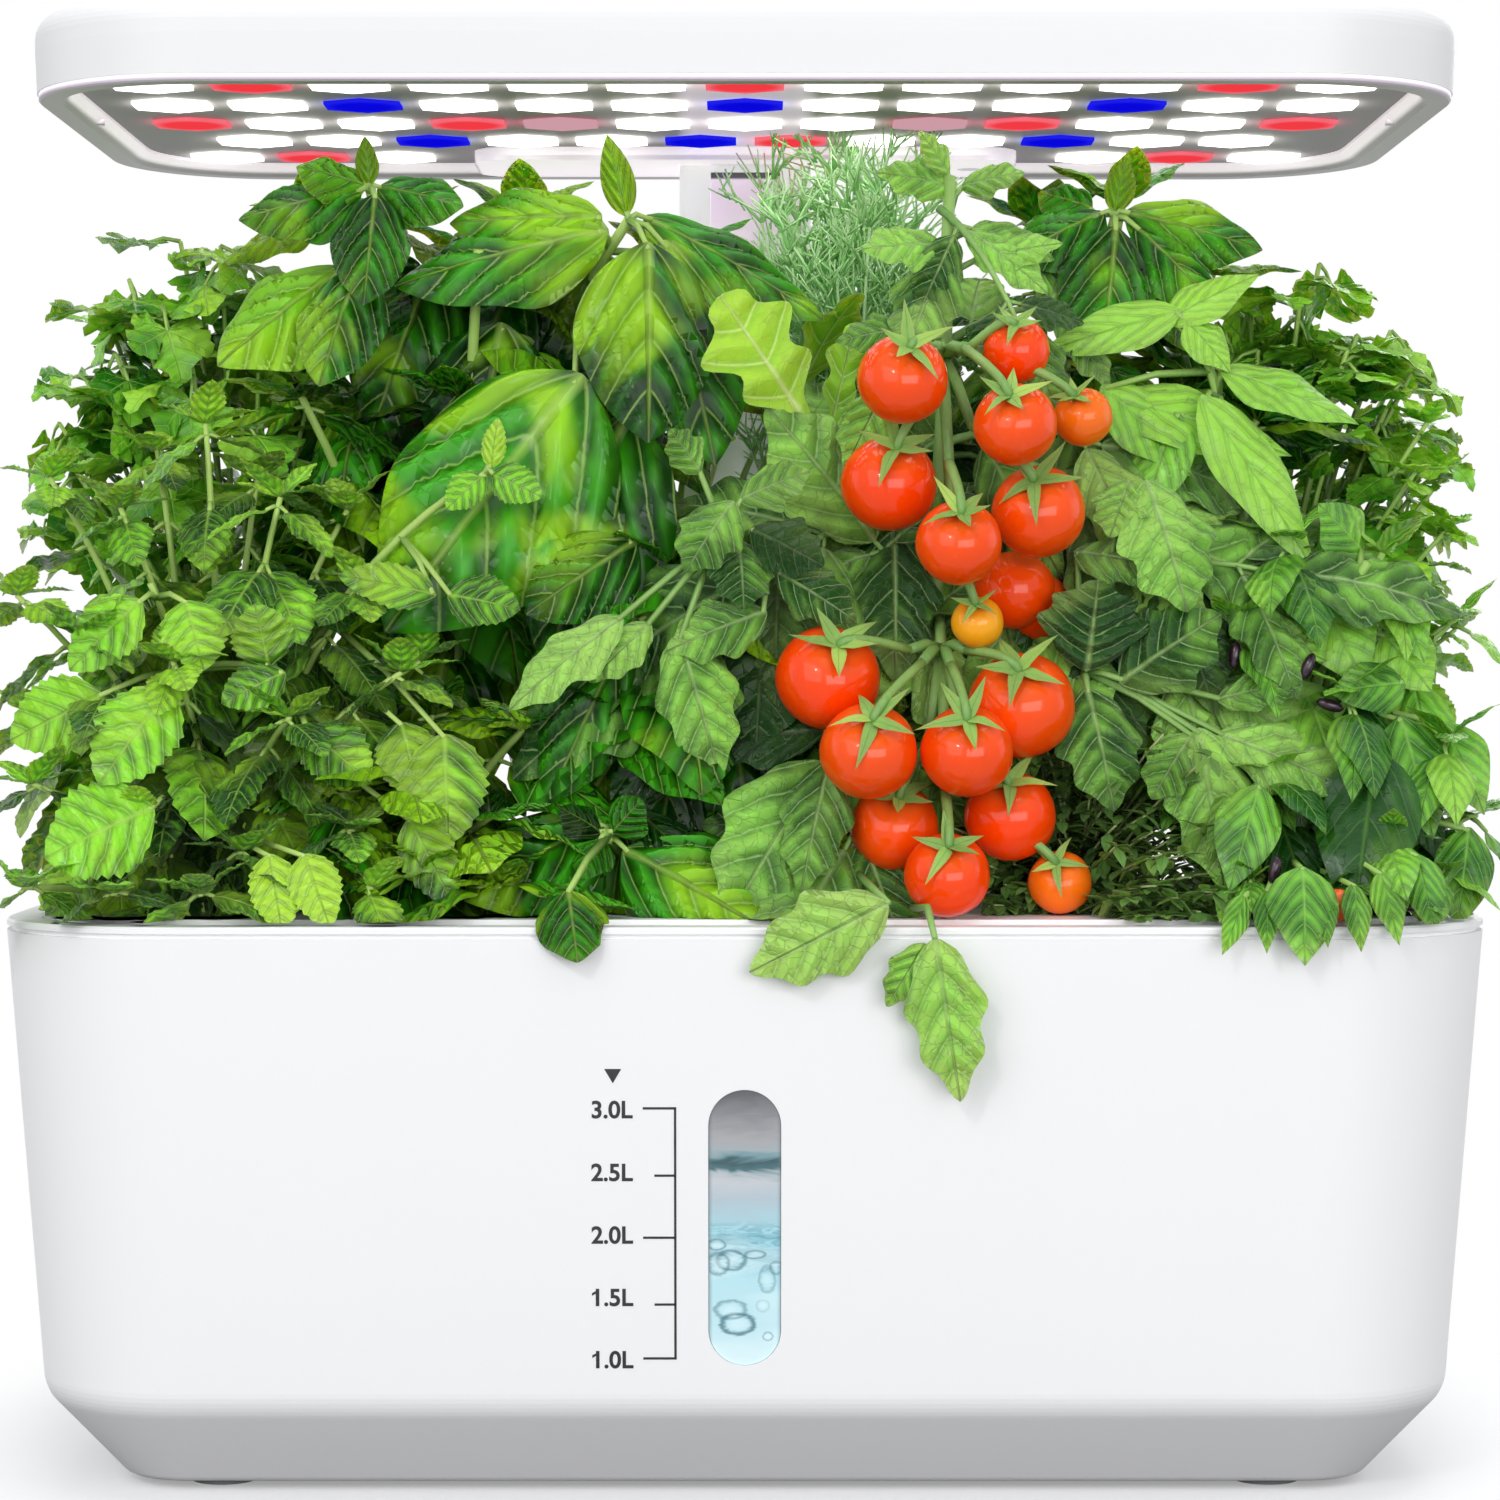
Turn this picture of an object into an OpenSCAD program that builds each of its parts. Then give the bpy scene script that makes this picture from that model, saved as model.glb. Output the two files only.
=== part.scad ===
/* [Tank] */
// Width of the tank at its top edge
tank_w = 270; // [262:1:300]
// Depth of the tank at its top edge, front to back
tank_d = 178; // [174:1:196]
// Height of the tank's outer edge above the worktop
tank_h = 101.3; // [90:0.1:120]
// Plan radius of the tank's corners at the top
corner_r = 34; // [32:1:38]
// Slope of the walls away from upright, in degrees
wall_draft = 4.45; // [2:0.05:5.5]
// Wall thickness of the tank
tank_t = 2.2; // [1.8:0.1:2.8]
// Height of the sloping skirt at the foot of the wall
skirt_h = 16; // [12:0.5:20]
// How far the skirt draws in under the wall
skirt_in = 15; // [10:0.5:16]
// Radius of the bend between wall and skirt
knee_r = 8; // [4:0.5:10]
// Height of the raised bead that the deck's lip rests on
bead_h = 0.9; // [0.5:0.1:2]
// Height of the rubber feet below the tank
foot_h = 1.3; // [1:0.1:3]
// Diameter of a rubber foot
foot_d = 12; // [8:1:16]

/* [Level window] */
// Width of the level window
gauge_w = 12.85; // [10:0.05:18]
// Height of the level window
gauge_h = 49.6; // [36:0.1:56]
// Height of the window's centre above the worktop
gauge_z = 49.95; // [46:0.05:56]
// Width of the flange round the window lens
gauge_flange = 2.6; // [2:0.1:4]
// Thickness of the window's gasket
gasket_t = 0.8; // [0.6:0.1:1.5]

/* [Deck] */
// Thickness of the deck's lip over the tank wall
lip_t = 1.2; // [1:0.1:2]
// Width of the flat border round the deck
border_w = 6.2; // [5.6:0.1:8]
// Width of the channel inside the border
moat_w = 3.9; // [3:0.1:6]
// Depth of that channel
moat_d = 2.6; // [1.5:0.1:4]
// How far the planting plateau stands above the border
plateau_rise = 0.6; // [0.2:0.1:2]
// Thickness of the deck
deck_t = 1.8; // [1.5:0.1:2.4]
// Length of the deck's skirt inside the tank
deck_skirt = 9; // [6:0.5:14]
// Clearance between the deck's skirt and the tank wall
skirt_gap = 0.5; // [0.3:0.1:1]

/* [Planting pods] */
// Number of pods in one row
pods_per_row = 6; // [6]
// Distance between pods along a row
pod_pitch = 40; // [38:0.5:42]
// Distance of the front row in front of the centre
front_row = 40; // [38:0.5:44]
// Distance of the back row behind the centre
back_row = 8; // [5:0.5:10]
// Diameter of a pod hole in the deck
pod_hole_d = 30; // [26:0.5:31]
// Clearance between a basket and its hole
basket_gap = 0.3; // [0.2:0.1:0.8]
// Height of a basket below its flange
basket_h = 48; // [36:1:54]
// Wall thickness of a basket
basket_t = 1.4; // [1.2:0.1:2]
// Width of the flange that a basket hangs by
basket_flange = 3; // [2:0.5:3]
// Thickness of that flange
flange_t = 1.6; // [1:0.1:2.5]

/* [Pump] */
// Width of the pump housing
pump_w = 44; // [40:1:50]
// Depth of the pump housing
pump_d = 36; // [34:1:38]
// Height of the pump housing
pump_h = 27; // [24:1:32]
// Gap between the pump's feet and the tank floor
pump_clear = 1; // [0.5:0.1:3]
// Diameter of the impeller
impeller_d = 20; // [16:0.5:24]
// Number of impeller blades
impeller_blades = 6; // [4:1:8]

/* [Mast and lamp post] */
// Width of the fixed mast
mast_w = 21; // [18:0.5:23]
// Depth of the fixed mast
mast_d = 15; // [12:0.5:17]
// Wall of the mast and of the post
tube_t = 1.8; // [1.4:0.1:2.2]
// Space between the mast and the inside of the post
tube_gap = 1.2; // [1:0.1:1.6]
// Running clearance of the guide shoe and bush
slide_gap = 0.1; // [0.05:0.01:0.2]
// Thickness of the post's front wall, which holds the cover strip
post_front_t = 3.2; // [2.8:0.1:4]
// Width of the groove down the front of the post
groove_w = 14.3; // [10:0.1:18]
// Depth of that groove
groove_depth = 1.6; // [1:0.1:2]
// How far the post's front stands behind the deck's centre
post_front_y = 30; // [29.8:0.1:31]
// Height of the mast foot above the deck
mast_foot_h = 16; // [14:1:20]
// How far the lamp slides up
lamp_travel = 95; // [60:1:95]

/* [Lamp] */
// Width of the lamp
lamp_w = 258; // [256:1:280]
// Depth of the lamp, front to back
lamp_d = 146; // [144:1:160]
// Plan radius of the lamp's corners
lamp_r = 33; // [30:1:36]
// Height of the lamp's underside above the worktop, at its lowest
lamp_z = 251.2; // [240:0.1:270]
// Height of the lamp's housing
lamp_h = 15.6; // [14:0.1:20]
// Radius along the lamp's top edge
lamp_edge_r = 4.6; // [2:0.1:6]
// Wall thickness of the lamp's housing
lamp_t = 2; // [1.6:0.1:2.4]
// Width of the flat rim round the light panel
rim_w = 4.2; // [3.5:0.1:6]
// How far the light panel lies above the rim
panel_recess = 2.6; // [2:0.1:4]
// Width of the block at the back that takes the post
dock_w = 110.6; // [90:0.1:120]
// Depth of that block
dock_d = 34; // [32:0.1:34]

/* [Lights] */
// Distance between lights along a row
light_pitch = 17.8; // [17:0.1:18]
// Distance between the rows of lights
light_row_pitch = 25.9; // [20:0.1:26]
// Distance of the first row behind the lamp's front edge
light_first_row = 23; // [20:0.1:24]
// Width of a hexagonal lens across its flats
lens_w = 14.1; // [10:0.1:15]
// Thickness of the light panel
panel_t = 1.8; // [1.4:0.1:2.4]
// How far a lens stands out of the panel
lens_proud = 0.6; // [0.2:0.1:1.2]

/* [Buttons and lid] */
// Diameter of a push button on the lamp's top
button_d = 13; // [10:0.5:16]
// How far a button stands proud
button_proud = 1.2; // [1:0.1:2]
// How far a button travels
button_travel = 0.8; // [0.4:0.1:0.9]
// Width of the filling hole's lid
lid_w = 40; // [34:1:42]
// Depth of the lid, hinge to front edge
lid_d = 25; // [22:1:26]
// Thickness of the lid
lid_t = 1.8; // [1.5:0.1:2.2]

/* [Hidden] */
$fn = 64;

white_abs = [0.95, 0.95, 0.96];
soft_grey = [0.66, 0.65, 0.66];
seat = 0.1;                 // clearance of a piece pressed or dropped into its seat

// Heights
wall_slope = tan(wall_draft);
knee_z = foot_h + skirt_h;
bead_z = tank_h + bead_h;
border_z = bead_z + lip_t;
plateau_z = border_z + plateau_rise;
deck_under_z = plateau_z - deck_t;
floor_z = foot_h + tank_t;
half_depth = tank_d / 2;

// Deck ring, counted in from the outer edge
moat_slope = 0.7;           // lean of the channel's sides
moat_outer = border_w + moat_slope;
moat_inner = moat_outer + moat_w;
plateau_in = moat_inner + moat_slope + 3.2;
deck_skirt_u = tank_t + skirt_gap + deck_skirt * wall_slope;

// Pods
function pod_x(i) = (i % pods_per_row - (pods_per_row - 1) / 2) * pod_pitch;
function pod_y(i) = i < pods_per_row ? -front_row : back_row;
basket_r = pod_hole_d / 2 - basket_gap;
basket_taper = 2.4;         // how much a basket narrows to its foot
plug_h = basket_h - basket_t - 6;
plug_top = plateau_z + 1;
flange_top = plateau_z + flange_t;

// Mast and post
cavity_w = mast_w + 2 * tube_gap;
cavity_d = mast_d + 2 * tube_gap;
post_w = cavity_w + 2 * tube_t;
post_d = cavity_d + tube_t + post_front_t;
mast_y = post_front_y + post_front_t + cavity_d / 2;
mast_foot_top = plateau_z + mast_foot_h;
guide_h = 10;               // height of the guide shoe and of the bush
post_z = mast_foot_top + 0.3;
mast_top = post_z + guide_h + lamp_travel + 0.3 + guide_h;
mast_foot_w = 52;
mast_foot_front = post_front_y - 4;
mast_foot_back = half_depth - plateau_in - 1;

// Lamp
lamp_y = lamp_d / 2 - half_depth;
lamp_back = lamp_y + lamp_d / 2;
bezel_t = 1.4;
bezel_ledge = 3;            // width of the sloped wall between rim and panel
panel_z = lamp_z + panel_recess;
panel_top = panel_z + panel_t;
lamp_top = lamp_z + lamp_h;
lamp_roof = lamp_top - lamp_t;
bezel_in = 0.6;             // set-back of the bezel from the housing's outline
lens_flange = 0.8;
board_z = panel_top + lens_flange;
board_t = 1.2;
driver_z = board_z + board_t + 0.6;
driver_t = 1.2;
button_y = lamp_y - lamp_d / 2 + 32;
button_x = 16;
button_stem_d = 4;

// Filling hole and its lid
lid_x = -(pods_per_row / 2 - 0.5) * pod_pitch + 12;
lid_back = half_depth - plateau_in - 3;
lid_gap = 0.3;              // clearance round the lid in its recess
lid_recess = lid_t + 0.2;
well_floor_t = 1.6;
hinge_pin_d = 1.6;
hinge_lug = 3.4;            // width of each lug that holds the pin
hinge_y = lid_back - 2;
hinge_z = plateau_z + 1.4;

// Lights from front to back: w white, r red, b blue, p pale red, a dot is an empty place
light_rows = ["wrwwwwrwwwwrw", "wwbwwwbwwwbww", "rwwrpwwwprwwr", "wwbwwbrwwbww", "wrw.......wrw"];

// ---------------------------------------------------------------- shared shapes

function unit(v) = v / norm(v);

// Points of an arc of radius r that rounds corner b between a and c
function bend(a, b, c, r, steps = 6) =
    let (u = unit(a - b), v = unit(c - b), half = acos(u * v) / 2,
         centre = b + unit(u + v) * r / sin(half),
         p = b + u * r / tan(half) - centre, q = b + v * r / tan(half) - centre,
         start = atan2(p[1], p[0]), turn = (atan2(q[1], q[0]) - start + 540) % 360 - 180)
    [for (i = [0:steps]) centre + r * [cos(start + turn * i / steps), sin(start + turn * i / steps)]];

// Corner b of a wall's inner face, the thickness t to the right of the path a, b, c
function inner(a, b, c, t) =
    let (u = unit(b - a), v = unit(c - b), m = [u[1], -u[0]], n = [v[1], -v[0]])
    b + t * (m + n) / (1 + m * n);

module rounded(w, d, r) {
    square([w - 2 * r, d], center = true);
    square([w, d - 2 * r], center = true);
    for (x = [-1, 1], y = [-1, 1]) translate([x * (w / 2 - r), y * (d / 2 - r)]) circle(r);
}

module slab(w, d, r, z0, z1) {
    translate([0, 0, z0]) linear_extrude(z1 - z0) rounded(w, d, r);
}

// Carries a section, drawn as distance from the corner's centre against height, round a rounded rectangle
module around(w, d, r) {
    for (i = [0:3]) {
        half_x = (i % 2 == 0 ? w : d) / 2 - r;
        half_y = (i % 2 == 0 ? d : w) / 2 - r;
        rotate([0, 0, 90 * i]) {
            translate([half_x, 0, 0]) rotate([90, 0, 0])
                linear_extrude(2 * half_y, center = true) children();
            translate([half_x, half_y, 0]) rotate_extrude(angle = 90) children();
        }
    }
}

module box_between(a, b) {
    translate(a) cube(b - a);
}

module centred_box(w, d, z0, z1, y = 0) {
    translate([-w / 2, y - d / 2, z0]) cube([w, d, z1 - z0]);
}

// ---------------------------------------------------------------- tank

wall_top = [corner_r, tank_h];
wall_knee = [corner_r - (tank_h - knee_z) * wall_slope, knee_z];
wall_foot = [wall_knee[0] - skirt_in, foot_h];
floor_mid = [wall_foot[0] - 6, foot_h];

module tank_section() {
    inner_top = [corner_r + bead_h * wall_slope - tank_t / cos(wall_draft), bead_z];
    inner_knee = inner(wall_top, wall_knee, wall_foot, tank_t);
    inner_foot = inner(wall_knee, wall_foot, floor_mid, tank_t);
    polygon(concat(
        [wall_top],
        bend(wall_top, wall_knee, wall_foot, knee_r),
        bend(wall_knee, wall_foot, floor_mid, 3, 3),
        [floor_mid, floor_mid + [0, tank_t]],
        bend(floor_mid + [0, tank_t], inner_foot, inner_knee, 2, 3),
        bend(inner_foot, inner_knee, inner_top, knee_r - tank_t),
        [inner_top, inner_top + [tank_t / 2, 0], [inner_top[0] + tank_t / 2, tank_h]]
    ));
}

// Carries a shape onto the leaning front wall: its outer face is y = 0 and its height counts from z
module on_front_wall(z) {
    translate([0, -half_depth + (tank_h - z) * wall_slope, z]) rotate([wall_draft, 0, 0]) children();
}

module pill(w, h, y0, y1) {
    translate([0, y1, 0]) rotate([90, 0, 0]) linear_extrude(y1 - y0) {
        square([w, h - w], center = true);
        for (s = [-1, 1]) translate([0, s * (h - w) / 2]) circle(d = w);
    }
}

module tank() {
    core = corner_r - floor_mid[0];
    color(white_abs) difference() {
        union() {
            around(tank_w, tank_d, corner_r) tank_section();
            slab(tank_w - 2 * core, tank_d - 2 * core, floor_mid[0], foot_h, floor_z);
        }
        on_front_wall(gauge_z) pill(gauge_w, gauge_h, -4, tank_t + 4);
        rubber_feet_at(foot_d + 2 * seat, foot_h - 1, foot_h + 0.5);
    }
}

window_w = gauge_w + 2 * gauge_flange;
window_h = gauge_h + 2 * gauge_flange;

module gauge_window() {
    color([0.62, 0.78, 0.82, 0.6]) on_front_wall(gauge_z) {
        pill(gauge_w - 2 * seat, gauge_h - 2 * seat, 0.4, tank_t + gasket_t + 0.2);
        pill(window_w, window_h, tank_t + gasket_t, tank_t + gasket_t + 1.6);
    }
}

module window_gasket() {
    color([0.3, 0.32, 0.34]) on_front_wall(gauge_z) difference() {
        pill(window_w, window_h, tank_t, tank_t + gasket_t);
        pill(gauge_w, gauge_h, tank_t - 1, tank_t + gasket_t + 1);
    }
}

module rubber_feet_at(d, z0, z1) {
    foot_x = tank_w / 2 - (corner_r - wall_foot[0]) - foot_d / 2 - 12;
    foot_y = half_depth - (corner_r - wall_foot[0]) - foot_d / 2 - 3.5;
    for (x = [-1, 1], y = [-1, 1]) translate([x * foot_x, y * foot_y, z0]) cylinder(h = z1 - z0, d = d);
}

module rubber_feet() {
    color([0.4, 0.4, 0.42]) rubber_feet_at(foot_d, 0, foot_h + 0.5);
}

// ---------------------------------------------------------------- deck

module deck_section() {
    r = corner_r;
    skirt_z = bead_z - deck_skirt;
    polygon([
        [r, bead_z], [r, border_z - 0.4], [r - 0.4, border_z], [r - border_w, border_z],
        [r - moat_outer, border_z - moat_d], [r - moat_inner, border_z - moat_d],
        [r - moat_inner - moat_slope, plateau_z], [r - plateau_in, plateau_z],
        [r - plateau_in, deck_under_z], [r - moat_inner - moat_slope - 1.6, deck_under_z],
        [r - moat_inner - 1.2, border_z - moat_d - deck_t],
        [r - deck_skirt_u - deck_t, border_z - moat_d - deck_t],
        [r - deck_skirt_u - deck_t, skirt_z], [r - deck_skirt_u, skirt_z], [r - deck_skirt_u, bead_z]
    ]);
}

// The lid's outline: round corners in front, square ones at the hinge
module lid_outline(grow) {
    square_part = lid_d / 2;
    translate([lid_x, lid_back - lid_d / 2]) rounded(lid_w + 2 * grow, lid_d + 2 * grow, 4 + grow);
    translate([lid_x - lid_w / 2 - grow, lid_back - square_part]) square([lid_w + 2 * grow, square_part + grow]);
}

module filling_hole() {
    ledge = 3.3;
    translate([lid_x, lid_back - lid_d / 2]) rounded(lid_w - 2 * ledge, lid_d - 2 * ledge, 3);
}

module deck() {
    rib_depth = 5;
    rib_t = 1.6;
    mid_y = (back_row - front_row) / 2;
    rib_front = -half_depth + plateau_in - 2;
    color(white_abs) difference() {
        union() {
            around(tank_w, tank_d, corner_r) deck_section();
            slab(tank_w - 2 * plateau_in, tank_d - 2 * plateau_in, corner_r - plateau_in, deck_under_z, plateau_z);
            // collars under the pod holes
            for (i = [0:2 * pods_per_row - 1]) translate([pod_x(i), pod_y(i), plateau_z - 9])
                cylinder(h = 9 - deck_t / 2, d = pod_hole_d + 3.2);
            // ribs under the plateau
            centred_box(tank_w - 2 * plateau_in - 8, rib_t, deck_under_z - rib_depth, deck_under_z + 0.4, mid_y);
            for (i = [0:pods_per_row]) translate([(i - pods_per_row / 2) * pod_pitch, 0, 0])
                box_between([-rib_t / 2, rib_front, deck_under_z - rib_depth],
                            [rib_t / 2, post_front_y - 10, deck_under_z + 0.4]);
            // well under the lid
            translate([0, 0, plateau_z - lid_recess - well_floor_t]) linear_extrude(lid_recess) lid_outline(1.6);
            // hinge lugs
            for (s = [-1, 1]) translate([lid_x + s * (lid_w / 2 + lid_gap + hinge_lug / 2), hinge_y, 0])
                box_between([-hinge_lug / 2, -1.8, plateau_z - 0.4], [hinge_lug / 2, 1.8, hinge_z + 1.8]);
        }
        for (i = [0:2 * pods_per_row - 1]) translate([pod_x(i), pod_y(i), plateau_z - 20])
            cylinder(h = 30, d = pod_hole_d);
        // recess for the lid, the groove that its back edge swings through, and the filling hole
        translate([0, 0, plateau_z - lid_recess]) linear_extrude(10) lid_outline(lid_gap);
        translate([lid_x, 0, 0]) box_between([-lid_w / 2 - lid_gap, hinge_y - 3.6, plateau_z - lid_recess - 0.7],
                                             [lid_w / 2 + lid_gap, lid_back + lid_gap, plateau_z - 1]);
        translate([0, 0, plateau_z - 20]) linear_extrude(30) filling_hole();
        // bore for the hinge pin through both lugs
        translate([lid_x, hinge_y, hinge_z]) rotate([0, 90, 0])
            cylinder(h = lid_w + 2 * hinge_lug + 4, d = hinge_pin_d, center = true);
        // passage for the leads that run up the mast, and holes for the screws of the mast's foot
        centred_box(mast_w - 2 * tube_t, mast_d - 2 * tube_t, plateau_z - 10, plateau_z + 10, mast_y);
        foot_screw_places() translate([0, 0, plateau_z - 10]) cylinder(h = 20, d = foot_screw_d + 0.4);
    }
}

module filler_lid() {
    knuckle_r = 1.7;
    color([0.9, 0.9, 0.91]) difference() {
        union() {
            translate([0, 0, plateau_z - lid_t]) linear_extrude(lid_t) lid_outline(0);
            // knuckle along the hinge
            translate([lid_x, hinge_y, hinge_z]) rotate([0, 90, 0])
                cylinder(h = lid_w, r = knuckle_r, center = true);
            translate([lid_x, 0, 0]) box_between([-lid_w / 2, hinge_y - knuckle_r, plateau_z - 0.4],
                                                 [lid_w / 2, hinge_y + knuckle_r - 0.6, hinge_z]);
            // finger lip along the front edge
            translate([lid_x, lid_back - lid_d + 1.2, 0]) box_between([-8, -1, plateau_z - 0.4], [8, 1, plateau_z + 1.4]);
        }
        translate([lid_x, hinge_y, hinge_z]) rotate([0, 90, 0])
            cylinder(h = lid_w + 4, r = hinge_pin_d / 2 + 0.05, center = true);
    }
}

module lid_hinge_pin() {
    color([0.75, 0.75, 0.77]) translate([lid_x, hinge_y, hinge_z]) rotate([0, 90, 0])
        cylinder(h = lid_w + 2 * (lid_gap + hinge_lug), d = hinge_pin_d, center = true);
}

// ---------------------------------------------------------------- baskets

module basket(i) {
    foot_r = basket_r - basket_taper;
    slots = 8;
    color(white_abs) translate([pod_x(i), pod_y(i), plateau_z]) difference() {
        union() {
            translate([0, 0, -basket_h]) cylinder(h = basket_h, r1 = foot_r, r2 = basket_r);
            cylinder(h = flange_t, r = basket_r + basket_flange);
        }
        translate([0, 0, basket_t - basket_h])
            cylinder(h = basket_h + 10, r1 = foot_r - basket_t, r2 = basket_r - basket_t + 10 * basket_taper / basket_h);
        for (k = [0:slots - 1]) rotate([0, 0, 360 / slots * (k + 0.5)])
            box_between([foot_r / 2, -1.3, 4 - basket_h], [basket_r + 1, 1.3, -14]);
        translate([0, 0, -basket_h - 1]) cylinder(h = 4, r = 4);
    }
}

// Plugs of foam that hold the roots, each with a hole for the stem
module grow_plugs() {
    low_r = basket_r - basket_taper - basket_t - 0.2;
    color([0.33, 0.25, 0.18]) for (i = [0:2 * pods_per_row - 1])
        translate([pod_x(i), pod_y(i), plug_top - plug_h]) difference() {
            cylinder(h = plug_h, r1 = low_r - 0.4, r2 = low_r + 0.8);
            translate([0, 0, plug_h - stem_seat]) cylinder(h = stem_seat + 1, r = plug_hole_r);
        }
}

// ---------------------------------------------------------------- plants

stem_seat = 8;              // depth of a stem in its plug
plug_hole_r = 3.4;
stem_foot = plug_top - stem_seat;
stem_foot_d = 2 * (plug_hole_r - seat);
crown_foot = flange_top + 0.5;

// The space that each plant keeps to, so that no two touch
cell_gap = 0.5;
cell_w = pod_pitch / 2 - cell_gap;
row_split = (back_row - front_row) / 2;
side_x = tank_w / 2 - 1;
front_y = 1 - half_depth;
crown_top = lamp_z - 4;
low_crown = plateau_z + 44;
golden_turn = 137.5;        // turn between one leaf and the next round a stem

module within(x0, x1, y0, y1, z1 = crown_top, z0 = crown_foot) {
    intersection() {
        children();
        box_between([x0, y0, z0], [x1, y1, z1]);
    }
}

// The foot of a plant's stem, seated in the plug of pod i
module rooted(i) {
    translate([pod_x(i), pod_y(i), stem_foot]) cylinder(h = crown_foot + 1 - stem_foot, d = stem_foot_d);
}

module at_pod(i) {
    translate([pod_x(i), pod_y(i), plug_top]) children();
}

// A solid through a row of four-cornered rings
module loft(rings) {
    last = 4 * (len(rings) - 1);
    polyhedron([for (ring = rings, point = ring) point], concat(
        [[0, 1, 2, 3], [last + 3, last + 2, last + 1, last]],
        [for (i = [0:4:last - 1], k = [0:3]) [i + k, i + 4 + k, i + 4 + (k + 1) % 4, i + (k + 1) % 4]]
    ));
}

// A leaf with its stalk, from the origin along +X: the blade is l long and w wide and bows down
module leaf(l, w, reach = 0, bow = 0.3, t = 1.1, steps = 4) {
    function half_w(s) = max(0.5, w / 2 * sin(180 * pow(s, 0.75)));
    function ring(x, half, z) = [[x, -half, z - t / 2], [x, half, z - t / 2], [x, half, z + t / 2], [x, -half, z + t / 2]];
    loft(concat(
        reach > 0 ? [ring(0, 0.8, 0)] : [],
        [for (i = [0:steps]) let (s = i / steps) ring(reach + l * s, half_w(s), -bow * l * s * s)]
    ));
}

// A straight stalk from the origin up, d0 thick at its foot and d1 at its tip
module stalk(h, d0 = 1.8, d1 = 1.2) {
    if (abs(d0 - d1) < 0.01) cylinder(h = h, d = d0, $fn = 5);
    else cylinder(h = h, d1 = d0, d2 = d1, $fn = 5);
}

// A leaf on its stalk: height up the stem, heading, rise, stalk length and leaf size
module stalked_leaf(z, heading, rise, reach, l, w, bow = 0.3) {
    translate([0, 0, z]) rotate([0, 0, heading]) rotate([0, -rise, 0]) leaf(l, w, reach, bow);
}

// Pairs of leaves up a stem, each pair turned across the one below
module leaf_pairs(z0, step, count, reach, l, w, rise, first = 0, shrink = 0.05) {
    for (k = [0:count - 1], side = [0, 180]) {
        size = 1 - shrink * k;
        stalked_leaf(z0 + step * k, first + 90 * k + side, rise, reach * size, l * size, w * size);
    }
}

// A leaning stem with leaf pairs on it
module shoot(lean, heading, h, z0, step, count, reach, l, w, rise, first = 0, d = 3) {
    rotate([0, 0, heading]) rotate([0, lean, 0]) rotate([0, 0, -heading]) {
        stalk(h, d, d * 0.6);
        leaf_pairs(z0, step, count, reach, l, w, rise, first);
    }
}

module plant_mint() {
    color([0.32, 0.62, 0.12]) {
        rooted(0);
        within(-side_x, pod_x(0) + cell_w, front_y, row_split - cell_gap) at_pod(0) {
            shoot(0, 0, 94, 12, 18, 5, 3, 24, 20, 8, 30);
            shoot(20, 200, 86, 22, 19, 4, 3, 22, 18, 10, 75);
            shoot(18, 280, 78, 16, 18, 4, 3, 22, 18, 4, 10);
            shoot(15, 325, 84, 24, 19, 3, 3, 23, 19, 6, 50);
            shoot(24, 240, 72, 16, 18, 3, 3, 22, 18, 4, 20);
        }
    }
}

module plant_low_basil() {
    color([0.2, 0.5, 0.12]) {
        rooted(1);
        within(pod_x(1) - cell_w, pod_x(1) + cell_w, front_y, row_split - cell_gap, low_crown) at_pod(1) {
            shoot(0, 0, 40, 8, 11, 3, 3, 24, 20, 14, 45);
            shoot(30, 270, 36, 14, 14, 2, 2, 22, 18, 6, 0);
        }
    }
}

module plant_broad_basil() {
    color([0.18, 0.48, 0.13]) {
        rooted(2);
        within(pod_x(2) - cell_w, pod_x(2) + cell_w, front_y, row_split - cell_gap, low_crown + 14) at_pod(2) {
            shoot(0, 0, 54, 10, 14, 3, 3, 30, 26, 12, 60);
            shoot(24, 262, 46, 18, 16, 2, 2, 28, 24, 2, 24);
        }
    }
}

// Short sprigs that lean out all round
module plant_thyme() {
    sprigs = 11;
    color([0.16, 0.36, 0.14]) {
        rooted(4);
        within(pod_x(4) - cell_w, pod_x(4) + cell_w, truss_back + 1, row_split - cell_gap, crook_z - 3) at_pod(4)
            for (k = [0:sprigs - 1]) rotate([0, 0, golden_turn * k]) rotate([0, 4 + 3.6 * k, 0]) {
                stalk(22, 1.8, 1.8);
                translate([0, 0, 12]) stalk(14, 3, 7);
                translate([0, 0, 25]) stalk(9, 7, 2);
            }
    }
}

module plant_pepper() {
    color([0.25, 0.58, 0.14]) {
        rooted(5);
        within(pod_x(5) - cell_w, side_x, front_y, row_split - cell_gap) at_pod(5) {
            shoot(0, 0, 74, 16, 15, 4, 4, 30, 20, -12, 30);
            shoot(22, 320, 62, 24, 16, 3, 3, 27, 18, -16, 75);
            shoot(14, 285, 80, 20, 17, 4, 4, 30, 20, -14, 50);
            shoot(25, 345, 78, 34, 17, 3, 4, 28, 19, -14, 10);
        }
    }
}

// The tomato's stem leans clear of its pod, then turns upright at the crook
tomato_stem_x = pod_x(3) + 16;
tomato_stem_y = pod_y(3) - 4;
crook_z = plateau_z + 28;

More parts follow.
